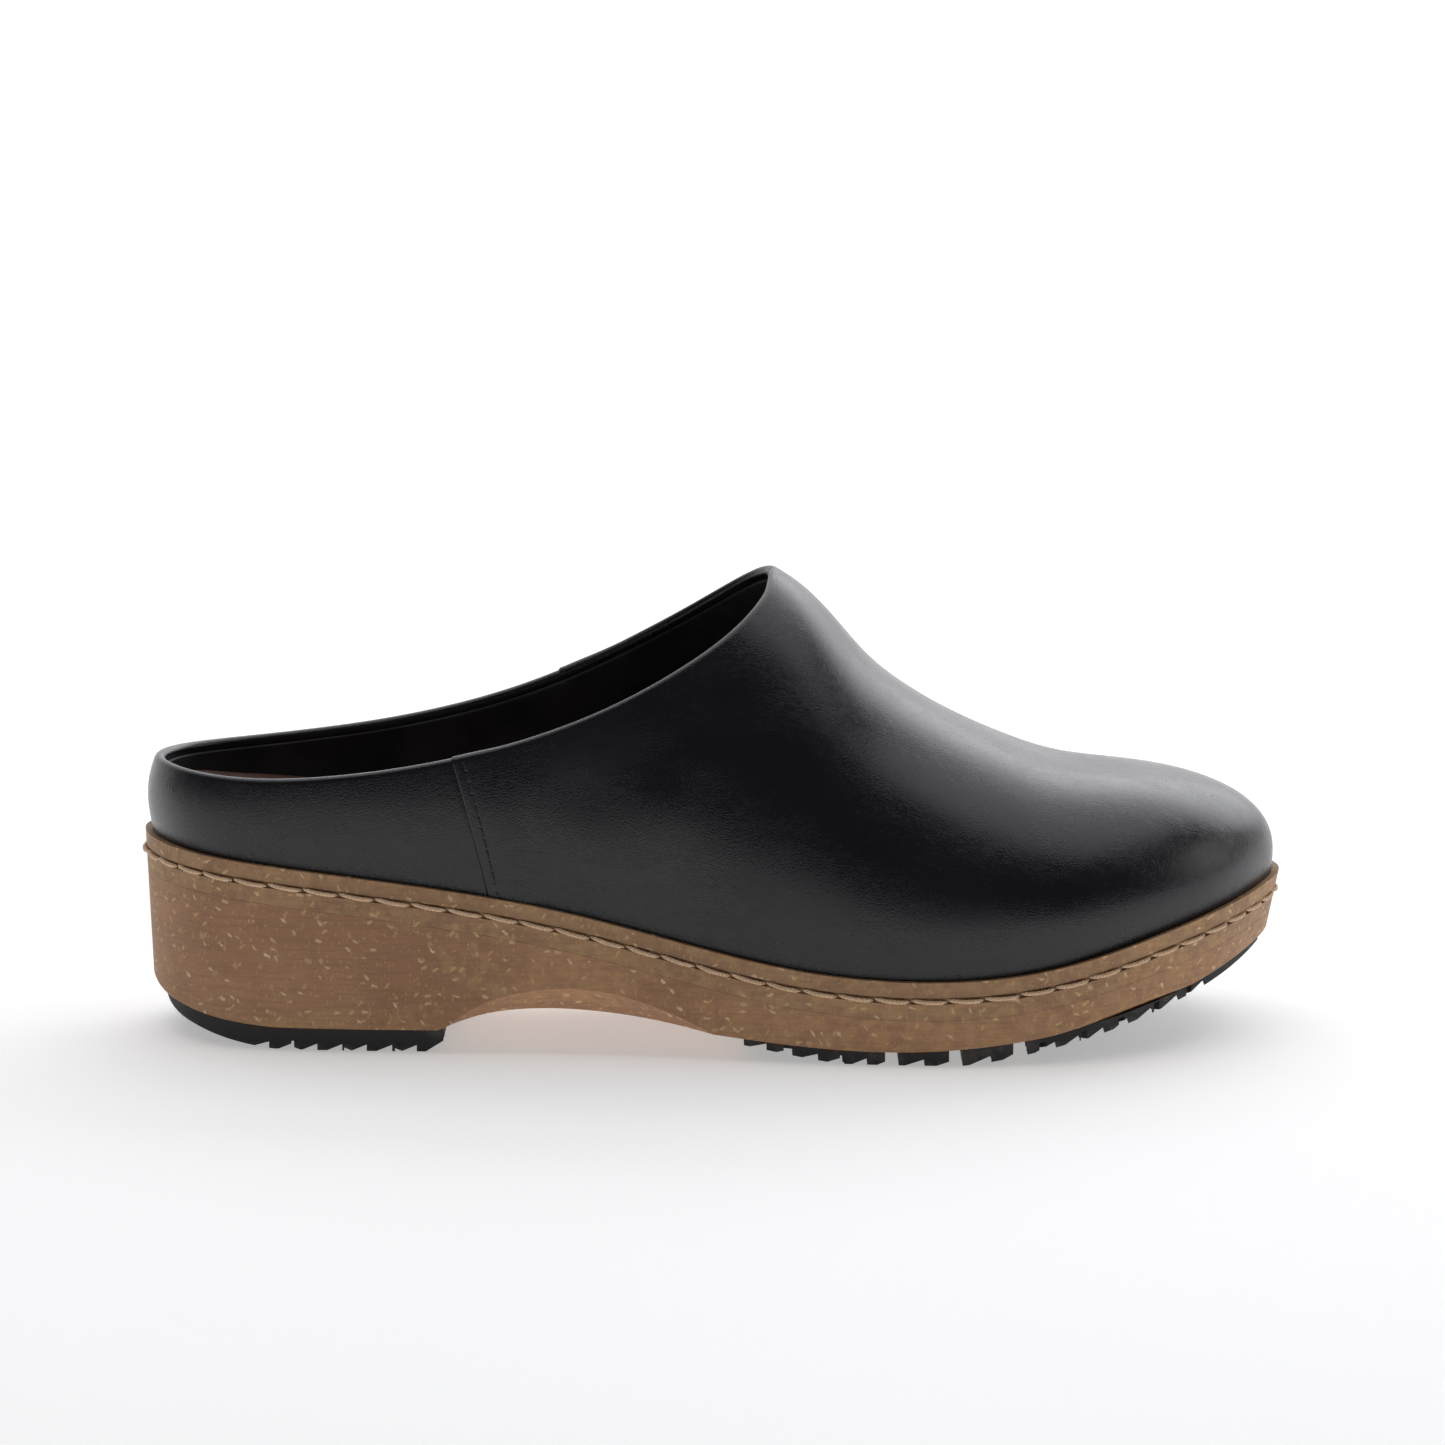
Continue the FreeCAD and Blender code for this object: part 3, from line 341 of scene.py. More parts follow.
def buildShell(columns, sharedTop, depth=0.0, lift=None):
    # one sheet over columns of outer points, welded where both sides meet on the ridge
    rows = len(columns[0])
    verts = np.array(columns).reshape(-1, 3)
    ids = np.arange(len(verts)).reshape(len(columns), rows)
    for a, b in sharedTop:
        ids[b, -1] = ids[a, -1]
    faces = gridFaces(ids)
    normal = vertexNormals(verts, faces)
    middle = verts.mean(0)
    if ((verts - middle) * normal).sum() < 0:
        normal = -normal
    for a, b in sharedTop:
        normal[b * rows + rows - 1] = normal[a * rows + rows - 1]
    verts = addDents(verts, normal)
    if lift is not None:
        verts = verts + normal * np.repeat(lift, rows)[:, None]
    verts = verts - normal * depth
    for a, b in sharedTop:
        verts[b * rows + rows - 1] = verts[a * rows + rows - 1]
    return verts, ids, normal


def vampColumns(drop):
    xThroat = throatX(drop)
    toeX = feather["toe"][0]
    front = np.concatenate([stations(xThroat, 62, 0.3, 1.5), toeStations(62, toeX, 84)[1:]])
    closeUp = xThroat - 0.06 * np.arange(8, 0, -1) ** 2
    rear = {s: np.concatenate([stations(upperFacts["seamFoot"][s], closeUp[0], 1.4, 0.9)[:-1], closeUp])
            for s in (lateral, medial)}
    rows = upperFacts["rows"]
    there = np.concatenate([rear[lateral], front])
    back = np.concatenate([front[:-1][::-1], rear[medial][::-1]])
    columns = upperColumns(lateral, there, rows, drop) + upperColumns(medial, back, rows, drop)
    place = [(lateral, x) for x in there] + [(medial, x) for x in back]
    first, toe = len(rear[lateral]), len(there) - 1
    shared = [(first + k, 2 * toe - first - k) for k in range(toe - first)]
    return columns, place, shared, (first, 2 * toe - first)


def quarterColumns(drop):
    heelX = feather["heel"][0]
    columns, place = [], []
    for s in (lateral, medial):
        foot = upperFacts["seamFoot"][s]
        xs = np.concatenate([[foot + upperFacts["lap"], foot + 4.0, foot + 2.0, foot + 0.8],
                             stations(foot - 0.4, -78, 1.5, 1.7), toeStations(-78, heelX, 60)[1:]])
        if s == medial:
            xs = xs[:-1][::-1]
        columns += upperColumns(s, xs, upperFacts["rows"] // 2, drop)
        place += [(s, x) for x in xs]
    return columns, place


def leatherShell(columns, shared, openTop, lift, sink, bridge, rolledEdges):
    # one leather piece: outer face, folded top edge with its inner tail, and a rolled seam edge
    verts, ids, normal = buildShell(columns, shared, lift=lift - sink)
    line = [int(ids[c, -1]) for c in openTop]
    inside = [int(ids[c, -2]) for c in openTop]
    away = awayFrom(verts, normal, line, inside)
    radius = upperFacts["foldRadius"] + (lift[openTop] - sink[openTop]) / 2
    rolled = edgeRoll(verts, normal, line, away, radius, 0.0, math.pi, 8)
    inner = verts[line] - normal[line] * (2 * radius)[:, None]
    for step in (1.2, 2.6, upperFacts["foldTail"]):
        rolled.append(inner - away * step)
    extra = []
    allVerts, allNormal = list(verts), list(normal)
    for row in rolled:
        extra.append(list(range(len(allVerts), len(allVerts) + len(row))))
        allVerts.extend(row)
    lines = [line] + extra
    faces = gridFaces(ids)
    for a, b in zip(lines, lines[1:]):
        for k in range(len(line) - 1):
            if openTop[k + 1] - openTop[k] == 1 or (openTop[k], openTop[k + 1]) == bridge:
                faces.append([a[k], a[k + 1], b[k + 1], b[k]])
    verts = np.array(allVerts)
    # the side edges, from the rim up over the fold, turn down onto the piece below
    for column, sign in rolledEdges:
        k = openTop.index(column)
        profile = [int(i) for i in ids[column]] + [e[k] for e in extra[:-1]]
        neighbour = column + sign
        kn = openTop.index(neighbour)
        beside = [int(i) for i in ids[neighbour]] + [e[kn] for e in extra[:-1]]
        faceNormal = vertexNormals(verts, faces)
        if (faceNormal[ids.ravel()] * normal[ids.ravel()]).sum() < 0:
            faceNormal = -faceNormal
        off = awayFrom(verts, faceNormal, profile, beside)
        r = np.full(len(profile), upperFacts["seamLift"] * 1.1)
        made = edgeRoll(verts, faceNormal, profile, off, r, 0.0, math.pi * 0.62, 5)
        before = profile
        for row in made:
            now = list(range(len(verts), len(verts) + len(row)))
            verts = np.vstack([verts, row])
            for i in range(len(now) - 1):
                faces.append([before[i], before[i + 1], now[i + 1], now[i]])
            before = now
    return verts, uniformFaces(verts, faces), ids


def uniformFaces(verts, faces):
    # gives all faces of one sheet the same winding, starting from an outer face
    mesh = bpy.data.meshes.new("winding")
    mesh.from_pydata(verts.tolist(), [], faces)
    b = bmesh.new()
    b.from_mesh(mesh)
    bmesh.ops.recalc_face_normals(b, faces=b.faces)
    b.faces.ensure_lookup_table()
    top = max(b.faces, key=lambda f: f.calc_center_median().z)
    middle = Vector(verts.mean(0))
    if top.normal.dot(top.calc_center_median() - middle) < 0:
        bmesh.ops.reverse_faces(b, faces=b.faces)
    faces = [[v.index for v in f.verts] for f in b.faces]
    b.free()
    bpy.data.meshes.remove(mesh)
    return faces


# ---- materials ----

toneTable = {
    "leather": (0.0052, 0.0058, 0.0084), "leatherSoft": (0.0066, 0.0072, 0.0100), "leatherWorn": (0.022, 0.022, 0.027),
    "sole": (0.475, 0.262, 0.142), "soleDark": (0.385, 0.200, 0.106), "soleDeep": (0.235, 0.122, 0.066),
    "welt": (0.420, 0.252, 0.138), "weltDark": (0.340, 0.190, 0.102),
    "straw": (0.84, 0.66, 0.40), "ochre": (0.66, 0.40, 0.17), "cork": (0.42, 0.25, 0.12),
    "rubber": (0.021, 0.021, 0.022), "rubberWorn": (0.060, 0.058, 0.056),
    "thread": (0.95, 0.70, 0.46), "threadDark": (0.66, 0.42, 0.25),
    "lining": (0.036, 0.036, 0.042), "sock": (0.085, 0.036, 0.020), "sockWorn": (0.14, 0.065, 0.038),
    "foam": (0.09, 0.06, 0.045), "board": (0.24, 0.16, 0.10), "steel": (0.42, 0.42, 0.43),
    "granule": (0.31, 0.19, 0.09), "stiffener": (0.62, 0.60, 0.53), "cloth": (0.11, 0.11, 0.105),
}


def rgba(name):
    return (*toneTable[name], 1.0)


class Nodes:
    # short ways to place and join shader nodes
    def __init__(self, tree):
        self.tree, self.step = tree, 0

    def add(self, kind, inputs=None, **settings):
        n = self.tree.nodes.new(kind)
        n.location = (self.step % 8 * 190, -(self.step // 8) * 220)
        self.step += 1
        for k, val in settings.items():
            setattr(n, k, val)
        for k, val in (inputs or {}).items():
            if isinstance(val, bpy.types.NodeSocket):
                self.tree.links.new(val, n.inputs[k])
            else:
                n.inputs[k].default_value = val
        return n

    def math(self, operation, a, b=0.0, clamp=False):
        return self.add("ShaderNodeMath", {0: a, 1: b}, operation=operation, use_clamp=clamp).outputs[0]

    def mix(self, factor, a, b, blend="MIX"):
        n = self.add("ShaderNodeMix", data_type="RGBA", blend_type=blend)
        for socket, val in ((n.inputs[0], factor), (n.inputs[6], a), (n.inputs[7], b)):
            if isinstance(val, bpy.types.NodeSocket):
                self.tree.links.new(val, socket)
            else:
                socket.default_value = val
        return n.outputs[2]

    def spread(self, value, low, high, toLow=0.0, toHigh=1.0):
        names = {"Value": value, "From Min": low, "From Max": high, "To Min": toLow, "To Max": toHigh}
        return self.add("ShaderNodeMapRange", names, interpolation_type="SMOOTHSTEP").outputs["Result"]

    def noise(self, vector, scale, detail=4.0, rough=0.5, distortion=0.0):
        names = {"Vector": vector, "Scale": scale, "Detail": detail, "Roughness": rough, "Distortion": distortion}
        return self.add("ShaderNodeTexNoise", names).outputs["Fac"]

    def place(self, stretch=(1, 1, 1), turn=(0, 0, 0)):
        where = self.add("ShaderNodeTexCoord").outputs["Object"]
        return self.add("ShaderNodeMapping", {"Vector": where, "Scale": stretch, "Rotation": turn}).outputs[0]


def newGroup(name, inputs, outputs):
    tree = bpy.data.node_groups.new(name, "ShaderNodeTree")
    for label, kind, value in inputs:
        socket = tree.interface.new_socket(name=label, in_out="INPUT", socket_type=kind)
        if value is not None:
            socket.default_value = value
    for label, kind in outputs:
        tree.interface.new_socket(name=label, in_out="OUTPUT", socket_type=kind)
    n = Nodes(tree)
    return n, n.add("NodeGroupInput").outputs, n.add("NodeGroupOutput").inputs, tree


def join(n, output, socket):
    n.tree.links.new(output, socket)


def makeSkinGrain():
    # fine leather grain, creases that run one way, and slow changes of tone
    n, i, o, tree = newGroup(
        "skinGrain",
        [("Pore Size", "NodeSocketFloat", 1400.0), ("Crease Size", "NodeSocketFloat", 260.0),
         ("Crease Amount", "NodeSocketFloat", 0.5), ("Mottle Size", "NodeSocketFloat", 30.0)],
        [("Height", "NodeSocketFloat"), ("Mottle", "NodeSocketFloat"), ("Creases", "NodeSocketFloat")])
    where = n.place()
    warp = n.add("ShaderNodeTexNoise", {"Vector": where, "Scale": 160.0, "Detail": 3.0})
    bent = n.mix(0.0035, where, warp.outputs["Color"], "ADD")
    cells = n.add("ShaderNodeTexVoronoi", {"Vector": bent, "Scale": i["Pore Size"]}, feature="DISTANCE_TO_EDGE")
    pores = n.spread(cells.outputs["Distance"], 0.0, 0.22)
    fine = n.noise(where, 3200.0, 3.0, 0.6)
    lines = n.add("ShaderNodeMapping", {"Vector": where, "Scale": (1.0, 1.0, 2.6), "Rotation": (0.0, 0.5, 0.3)})
    creaseNoise = n.noise(lines.outputs[0], i["Crease Size"], 5.0, 0.62, 0.8)
    fold = n.spread(n.math("ABSOLUTE", n.math("SUBTRACT", creaseNoise, 0.5)), 0.0, 0.06)
    mask = n.spread(n.noise(where, 42.0, 2.0), 0.47, 0.62)
    creases = n.math("MULTIPLY", n.math("MULTIPLY", n.math("SUBTRACT", 1.0, fold), mask), i["Crease Amount"])
    mottle = n.noise(where, i["Mottle Size"], 4.0, 0.55)
    height = n.math("ADD", n.math("MULTIPLY", pores, 0.35), n.math("MULTIPLY", fine, 0.3))
    height = n.math("SUBTRACT", height, n.math("MULTIPLY", creases, 0.55))
    join(n, height, o["Height"])
    join(n, mottle, o["Mottle"])
    join(n, creases, o["Creases"])
    return tree


def makeEdgeWear():
    # a mask along raised edges, broken up so that it looks rubbed
    n, i, o, tree = newGroup(
        "edgeWear",
        [("Sharpness", "NodeSocketFloat", 0.52), ("Break Size", "NodeSocketFloat", 420.0)],
        [("Wear", "NodeSocketFloat")])
    point = n.add("ShaderNodeNewGeometry").outputs["Pointiness"]
    high = n.math("ADD", i["Sharpness"], 0.05)
    edge = n.spread(point, i["Sharpness"], high)
    broken = n.noise(n.place(), i["Break Size"], 4.0, 0.6)
    join(n, n.math("MULTIPLY", edge, n.spread(broken, 0.38, 0.62), True), o["Wear"])
    return tree


def addFlakes(n, where, scale, half, thin):
    # thin discs scattered at every angle, one to a cell: a mask and three random numbers for each
    cells = n.add("ShaderNodeTexVoronoi", {"Vector": where, "Scale": scale, "Randomness": 1.0})
    local = n.add("ShaderNodeVectorMath", {0: where, 1: cells.outputs["Position"]}, operation="SUBTRACT").outputs[0]
    aim = n.add("ShaderNodeVectorMath", {0: cells.outputs["Color"], 1: (0.5, 0.5, 0.5)}, operation="SUBTRACT")
    aim = n.add("ShaderNodeVectorMath", {0: aim.outputs[0]}, operation="NORMALIZE").outputs[0]
    along = n.add("ShaderNodeVectorMath", {0: local, 1: aim}, operation="DOT_PRODUCT").outputs["Value"]
    whole = n.add("ShaderNodeVectorMath", {0: local, 1: local}, operation="DOT_PRODUCT").outputs["Value"]
    along2 = n.math("MULTIPLY", along, along)
    flat = n.math("DIVIDE", along2, n.math("MULTIPLY", thin, thin))
    wide = n.math("DIVIDE", n.math("SUBTRACT", whole, along2), n.math("MULTIPLY", half, half))
    pick = n.add("ShaderNodeSeparateColor", {"Color": cells.outputs["Color"]}).outputs
    mask = n.spread(n.math("SUBTRACT", 1.0, n.math("ADD", flat, wide)), 0.0, 0.45)
    return mask, pick


def makeFleckBlend():
    # shreds and crumbs of straw and cork scattered in a moulded compound
    n, i, o, tree = newGroup(
        "fleckBlend",
        [("Shred Size", "NodeSocketFloat", 0.9), ("Crumb Size", "NodeSocketFloat", 0.45),
         ("Shred Share", "NodeSocketFloat", 0.6)],
        [("Shreds", "NodeSocketFloat"), ("Crumbs", "NodeSocketFloat"), ("Tint", "NodeSocketFloat"),
         ("Clouds", "NodeSocketFloat"), ("Brushing", "NodeSocketFloat"), ("Height", "NodeSocketFloat")])
    where = n.place()
    warp = n.add("ShaderNodeTexNoise", {"Vector": where, "Scale": 1700.0, "Detail": 4.0, "Roughness": 0.75})
    ragged = n.mix(0.0014, where, warp.outputs["Color"], "ADD")
    half = n.math("MULTIPLY", i["Shred Size"], 0.001)
    big, pickBig = addFlakes(n, ragged, n.math("DIVIDE", 0.47, half), half, n.math("MULTIPLY", half, 0.34))
    big = n.math("MULTIPLY", big, n.spread(pickBig[2], n.math("SUBTRACT", 1.0, i["Shred Share"]), 1.0, 0.0, 1.0))
    half = n.math("MULTIPLY", i["Crumb Size"], 0.001)
    small, pickSmall = addFlakes(n, ragged, n.math("DIVIDE", 0.47, half), half, n.math("MULTIPLY", half, 0.45))
    small = n.math("MULTIPLY", small, n.spread(pickSmall[0], 0.35, 1.0))
    clouds = n.noise(where, 45.0, 5.0, 0.6)
    lines = n.add("ShaderNodeMapping", {"Vector": where, "Scale": (0.06, 0.06, 1.0)}).outputs[0]
    brushing = n.noise(lines, 1500.0, 4.0, 0.65)
    height = n.math("ADD", n.math("MULTIPLY", n.noise(where, 1100.0, 4.0, 0.6), 0.5), n.math("MULTIPLY", big, 0.2))
    found = (big, small, pickBig[0], clouds, brushing, height)
    for value, label in zip(found, ("Shreds", "Crumbs", "Tint", "Clouds", "Brushing", "Height")):
        join(n, value, o[label])
    return tree


def makeSurfaceDust():
    # faint uneven film that dulls a surface
    n, i, o, tree = newGroup("surfaceDust", [("Amount", "NodeSocketFloat", 0.2)], [("Dust", "NodeSocketFloat")])
    cloud = n.noise(n.place(), 70.0, 6.0, 0.65)
    speck = n.noise(n.place(), 2600.0, 2.0, 0.5)
    both = n.math("MULTIPLY", n.spread(cloud, 0.35, 0.75), n.spread(speck, 0.35, 0.7))
    join(n, n.math("MULTIPLY", both, i["Amount"]), o["Dust"])
    return tree


def makeClothWeave():
    # crossing threads: a height, and the same height as Shade, which paints the weave's low parts darker as painted
    # shade
    n, i, o, tree = newGroup("clothWeave", [("Thread Size", "NodeSocketFloat", 900.0)],
                             [("Height", "NodeSocketFloat"), ("Shade", "NodeSocketFloat")])
    parts = n.add("ShaderNodeSeparateXYZ", {"Vector": n.place()})
    waves = []
    for axis in ("X", "Y", "Z"):
        phase = n.math("MULTIPLY", parts.outputs[axis], i["Thread Size"])
        waves.append(n.math("SINE", n.math("MULTIPLY", phase, 6.283)))
    height = n.math("ADD", n.math("MULTIPLY", waves[0], waves[2]), n.math("MULTIPLY", waves[1], waves[2]))
    join(n, n.math("MULTIPLY_ADD", height, 0.25, True), o["Height"])
    join(n, n.spread(height, -1.0, 1.0), o["Shade"])
    return tree


skinGrain, edgeWear, fleckBlend = makeSkinGrain(), makeEdgeWear(), makeFleckBlend()
surfaceDust, clothWeave = makeSurfaceDust(), makeClothWeave()


def startMaterial(name, roughness, **fixed):
    mat = bpy.data.materials.new(name)
    mat.use_nodes = True
    mat.node_tree.nodes.clear()
    n = Nodes(mat.node_tree)
    out = n.add("ShaderNodeOutputMaterial")
    bsdf = n.add("ShaderNodeBsdfPrincipled", {"Roughness": roughness})
    for k, value in fixed.items():
        bsdf.inputs[k.replace("_", " ")].default_value = value
    join(n, bsdf.outputs[0], out.inputs[0])
    return mat, n, bsdf.inputs


def useGroup(n, tree, **values):
    node = n.add("ShaderNodeGroup", node_tree=tree)
    for k, value in values.items():
        node.inputs[k.replace("_", " ")].default_value = value
    return node.outputs


def addBump(n, inputs, height, strength, distance):
    bump = n.add("ShaderNodeBump", {"Height": height, "Strength": strength, "Distance": distance})
    join(n, bump.outputs[0], inputs["Normal"])
    return bump


leatherFacts = {"roughness": 0.235, "poreSize": 1500.0, "creaseSize": 300.0, "bump": 0.0001,
                "holePitch": 2.6, "holeLine": 2.0, "holeSize": 0.42}


def makeUpperLeather(name, withHoles):
    f = leatherFacts
    mat, n, b = startMaterial(name, f["roughness"], Specular_IOR_Level=0.55, Coat_Roughness=0.28)
    grain = useGroup(n, skinGrain, Pore_Size=f["poreSize"], Crease_Size=f["creaseSize"], Crease_Amount=0.28,
                     Mottle_Size=26.0)
    wear = useGroup(n, edgeWear, Sharpness=0.535, Break_Size=500.0)["Wear"]
    dust = useGroup(n, surfaceDust, Amount=0.35)["Dust"]
    tone = n.mix(n.spread(grain["Mottle"], 0.35, 0.7), rgba("leather"), rgba("leatherSoft"))
    tone = n.mix(n.math("MULTIPLY", wear, 0.6), tone, rgba("leatherWorn"))
    height = grain["Height"]
    if withHoles:
        uv = n.add("ShaderNodeUVMap", uv_map="seam").outputs[0]
        parts = n.add("ShaderNodeSeparateXYZ", {"Vector": uv})
        across = n.math("SUBTRACT", parts.outputs["X"], f["holeLine"])
        turns = n.math("DIVIDE", parts.outputs["Y"], f["holePitch"])
        step = n.math("SUBTRACT", n.math("FRACT", turns), 0.5)
        step = n.math("MULTIPLY", step, f["holePitch"])
        far = n.math("SQRT", n.math("ADD", n.math("MULTIPLY", across, across), n.math("MULTIPLY", step, step)))
        holeDentAndShade = n.spread(far, f["holeSize"] * 0.4, f["holeSize"], 1.0, 0.0)
        furrow = n.spread(n.math("ABSOLUTE", across), 0.0, 0.9, 1.0, 0.0)
        height = n.math("SUBTRACT", height, n.math("MULTIPLY", furrow, 0.6))
        height = n.math("SUBTRACT", height, n.math("MULTIPLY", holeDentAndShade, 2.0))
        # each stitch hole is pressed in by the bump and also painted near black, as painted shade inside the hole
        tone = n.mix(holeDentAndShade, tone, (0.002, 0.002, 0.002, 1.0))
    join(n, tone, b["Base Color"])
    rough = n.spread(grain["Mottle"], 0.3, 0.7, f["roughness"] - 0.03, f["roughness"] + 0.05)
    rough = n.math("ADD", rough, n.math("MULTIPLY", grain["Creases"], 0.08))
    join(n, n.math("ADD", rough, n.math("MULTIPLY", dust, 0.2)), b["Roughness"])
    addBump(n, b, height, 0.55, f["bump"])
    return mat


compoundFacts = {"shredSize": 1.0, "crumbSize": 0.45, "bump": 0.00025}


def makeCompound(name, base, dark, shredShare):
    f = compoundFacts
    mat, n, b = startMaterial(name, 0.6, Specular_IOR_Level=0.4)
    fleck = useGroup(n, fleckBlend, Shred_Size=f["shredSize"], Crumb_Size=f["crumbSize"], Shred_Share=shredShare)
    wear = useGroup(n, edgeWear, Sharpness=0.53, Break_Size=350.0)["Wear"]
    tone = n.mix(n.spread(fleck["Clouds"], 0.34, 0.66), rgba(dark), rgba(base))
    tone = n.mix(n.spread(fleck["Brushing"], 0.42, 0.62, 0.0, 0.3), tone, rgba("soleDeep"))
    shredTone = n.mix(fleck["Tint"], rgba("ochre"), rgba("straw"))
    tone = n.mix(n.math("MULTIPLY", fleck["Crumbs"], 0.6), tone, rgba("ochre"))
    tone = n.mix(n.math("MULTIPLY", fleck["Shreds"], 0.85), tone, shredTone)
    tone = n.mix(n.math("MULTIPLY", wear, 0.3), tone, rgba("ochre"))
    join(n, tone, b["Base Color"])
    join(n, n.spread(fleck["Clouds"], 0.3, 0.7, 0.54, 0.68), b["Roughness"])
    addBump(n, b, fleck["Height"], 0.45, f["bump"])
    return mat


def makeTreadRubber():
    mat, n, b = startMaterial("treadRubber", 0.72, Specular_IOR_Level=0.4)
    wear = useGroup(n, edgeWear, Sharpness=0.53, Break_Size=260.0)["Wear"]
    dust = useGroup(n, surfaceDust, Amount=0.6)["Dust"]
    tone = n.mix(wear, rgba("rubber"), rgba("rubberWorn"))
    join(n, n.mix(n.math("MULTIPLY", dust, 0.5), tone, rgba("rubberWorn")), b["Base Color"])
    join(n, n.spread(dust, 0.0, 0.5, 0.62, 0.85), b["Roughness"])
    addBump(n, b, n.noise(n.place(), 1900.0, 4.0, 0.6), 0.4, 0.00012)
    return mat


def makeThread(name, light, dark, shine):
    mat, n, b = startMaterial(name, 0.6, Sheen_Weight=shine, Sheen_Roughness=0.4)
    fibre = n.noise(n.place((1.0, 1.0, 0.35)), 5200.0, 4.0, 0.6)
    join(n, n.mix(n.spread(fibre, 0.35, 0.65), dark, light), b["Base Color"])
    join(n, n.spread(fibre, 0.3, 0.7, 0.5, 0.75), b["Roughness"])
    addBump(n, b, fibre, 0.5, 0.00008)
    return mat


def makeSkin(name, base, worn, roughness, poreSize, bump):
    mat, n, b = startMaterial(name, roughness, Specular_IOR_Level=0.4)
    grain = useGroup(n, skinGrain, Pore_Size=poreSize, Crease_Size=220.0, Crease_Amount=0.3, Mottle_Size=36.0)
    dust = useGroup(n, surfaceDust, Amount=0.3)["Dust"]
    join(n, n.mix(n.spread(grain["Mottle"], 0.35, 0.7), rgba(base), rgba(worn)), b["Base Color"])
    join(n, n.math("ADD", n.spread(grain["Mottle"], 0.3, 0.7, roughness, roughness + 0.12), dust), b["Roughness"])
    addBump(n, b, grain["Height"], 0.6, bump)
    return mat


def makeGranules(name, base, dark, size, roughness):
    mat, n, b = startMaterial(name, roughness)
    fleck = useGroup(n, fleckBlend, Shred_Size=size, Crumb_Size=size * 0.5, Shred_Share=0.8)
    tone = n.mix(n.spread(fleck["Clouds"], 0.3, 0.7), rgba(base), rgba(dark))
    join(n, n.mix(n.math("MULTIPLY", fleck["Shreds"], 0.5), tone, rgba("cork")), b["Base Color"])
    join(n, n.spread(fleck["Clouds"], 0.3, 0.7, roughness - 0.05, roughness + 0.1), b["Roughness"])
    addBump(n, b, fleck["Height"], 0.6, 0.0003)
    return mat


def makeCloth(name, base, size):
    mat, n, b = startMaterial(name, 0.85, Sheen_Weight=0.2)
    weave = useGroup(n, clothWeave, Thread_Size=size)
    # the low parts of the weave are painted darker with a dimmed copy of the cloth, as painted shade between the
    # threads
    weaveHollowShade = tuple(c * 0.7 for c in toneTable[base]) + (1.0,)
    join(n, n.mix(weave["Shade"], weaveHollowShade, rgba(base)), b["Base Color"])
    join(n, n.spread(weave["Shade"], 0.0, 1.0, 0.9, 0.78), b["Roughness"])
    addBump(n, b, weave["Height"], 0.5, 0.0001)
    return mat


def makeSteel():
    mat, n, b = startMaterial("shankSteel", 0.35, Metallic=1.0)
    brushed = n.noise(n.place((0.03, 1.0, 1.0)), 2400.0, 4.0, 0.6)
    tone = n.mix(n.spread(brushed, 0.3, 0.7), (0.34, 0.34, 0.35, 1.0), rgba("steel"))
    join(n, tone, b["Base Color"])
    join(n, n.spread(brushed, 0.3, 0.7, 0.28, 0.45), b["Roughness"])
    addBump(n, b, brushed, 0.3, 0.00005)
    return mat


def makeFloor(glow):
    mat, n, b = startMaterial("paleFloor", 0.75, Specular_IOR_Level=0.2, Emission_Color=(1, 1, 1, 1),
                              Emission_Strength=glow)
    tone = n.mix(n.spread(n.noise(n.place(), 3.0, 2.0), 0.3, 0.7), (0.80, 0.80, 0.80, 1), (0.82, 0.82, 0.82, 1))
    join(n, tone, b["Base Color"])
    return mat


vampLeather = makeUpperLeather("vampLeather", True)
quarterLeather = makeUpperLeather("quarterLeather", False)
soleCompound = makeCompound("soleCompound", "sole", "soleDark", 0.75)
weltCompound = makeCompound("weltCompound", "welt", "weltDark", 0.7)
treadRubber = makeTreadRubber()
weltYarn = makeThread("weltYarn", rgba("thread"), rgba("threadDark"), 0.2)
seamYarn = makeThread("seamYarn", (0.02, 0.02, 0.022, 1), (0.006, 0.006, 0.007, 1), 0.1)
liningSkin = makeSkin("liningSkin", "lining", "leather", 0.6, 1100.0, 0.0001)
sockSkin = makeSkin("sockSkin", "sock", "sockWorn", 0.5, 900.0, 0.00014)
footbedFoam = makeGranules("footbedFoam", "foam", "soleDark", 0.5, 0.85)
corkFiller = makeGranules("corkFiller", "granule", "cork", 0.8, 0.8)
boardFibre = makeGranules("boardFibre", "board", "granule", 0.3, 0.85)
stiffenerSheet = makeGranules("stiffenerSheet", "stiffener", "cloth", 0.25, 0.6)
backingCloth = makeCloth("backingCloth", "cloth", 900.0)
tapeCloth = makeCloth("tapeCloth", "cloth", 1400.0)
shankSteel = makeSteel()
print("materials made")


# ---- CAD nodes that keep their shape ----

nodeFinish = {
    "midsole": soleCompound, "welt": weltCompound,
    "heel_tread": treadRubber, "forefoot_tread_rear": treadRubber, "forefoot_tread_middle": treadRubber,
    "forefoot_tread_front": treadRubber, "toe_tread": treadRubber,
    "shank": shankSteel, "shank_rivets": shankSteel, "bottom_filler": corkFiller, "insole_board": boardFibre,
    "toe_puff": stiffenerSheet, "heel_counter": stiffenerSheet, "vamp_interlining": backingCloth,
    "vamp_topline_tape": tapeCloth, "quarter_topline_tape": tapeCloth,
}
for label, finish in nodeFinish.items():
    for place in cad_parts[label].material_slots:
        place.material = finish
print("CAD nodes finished")


# ---- leather of the upper ----


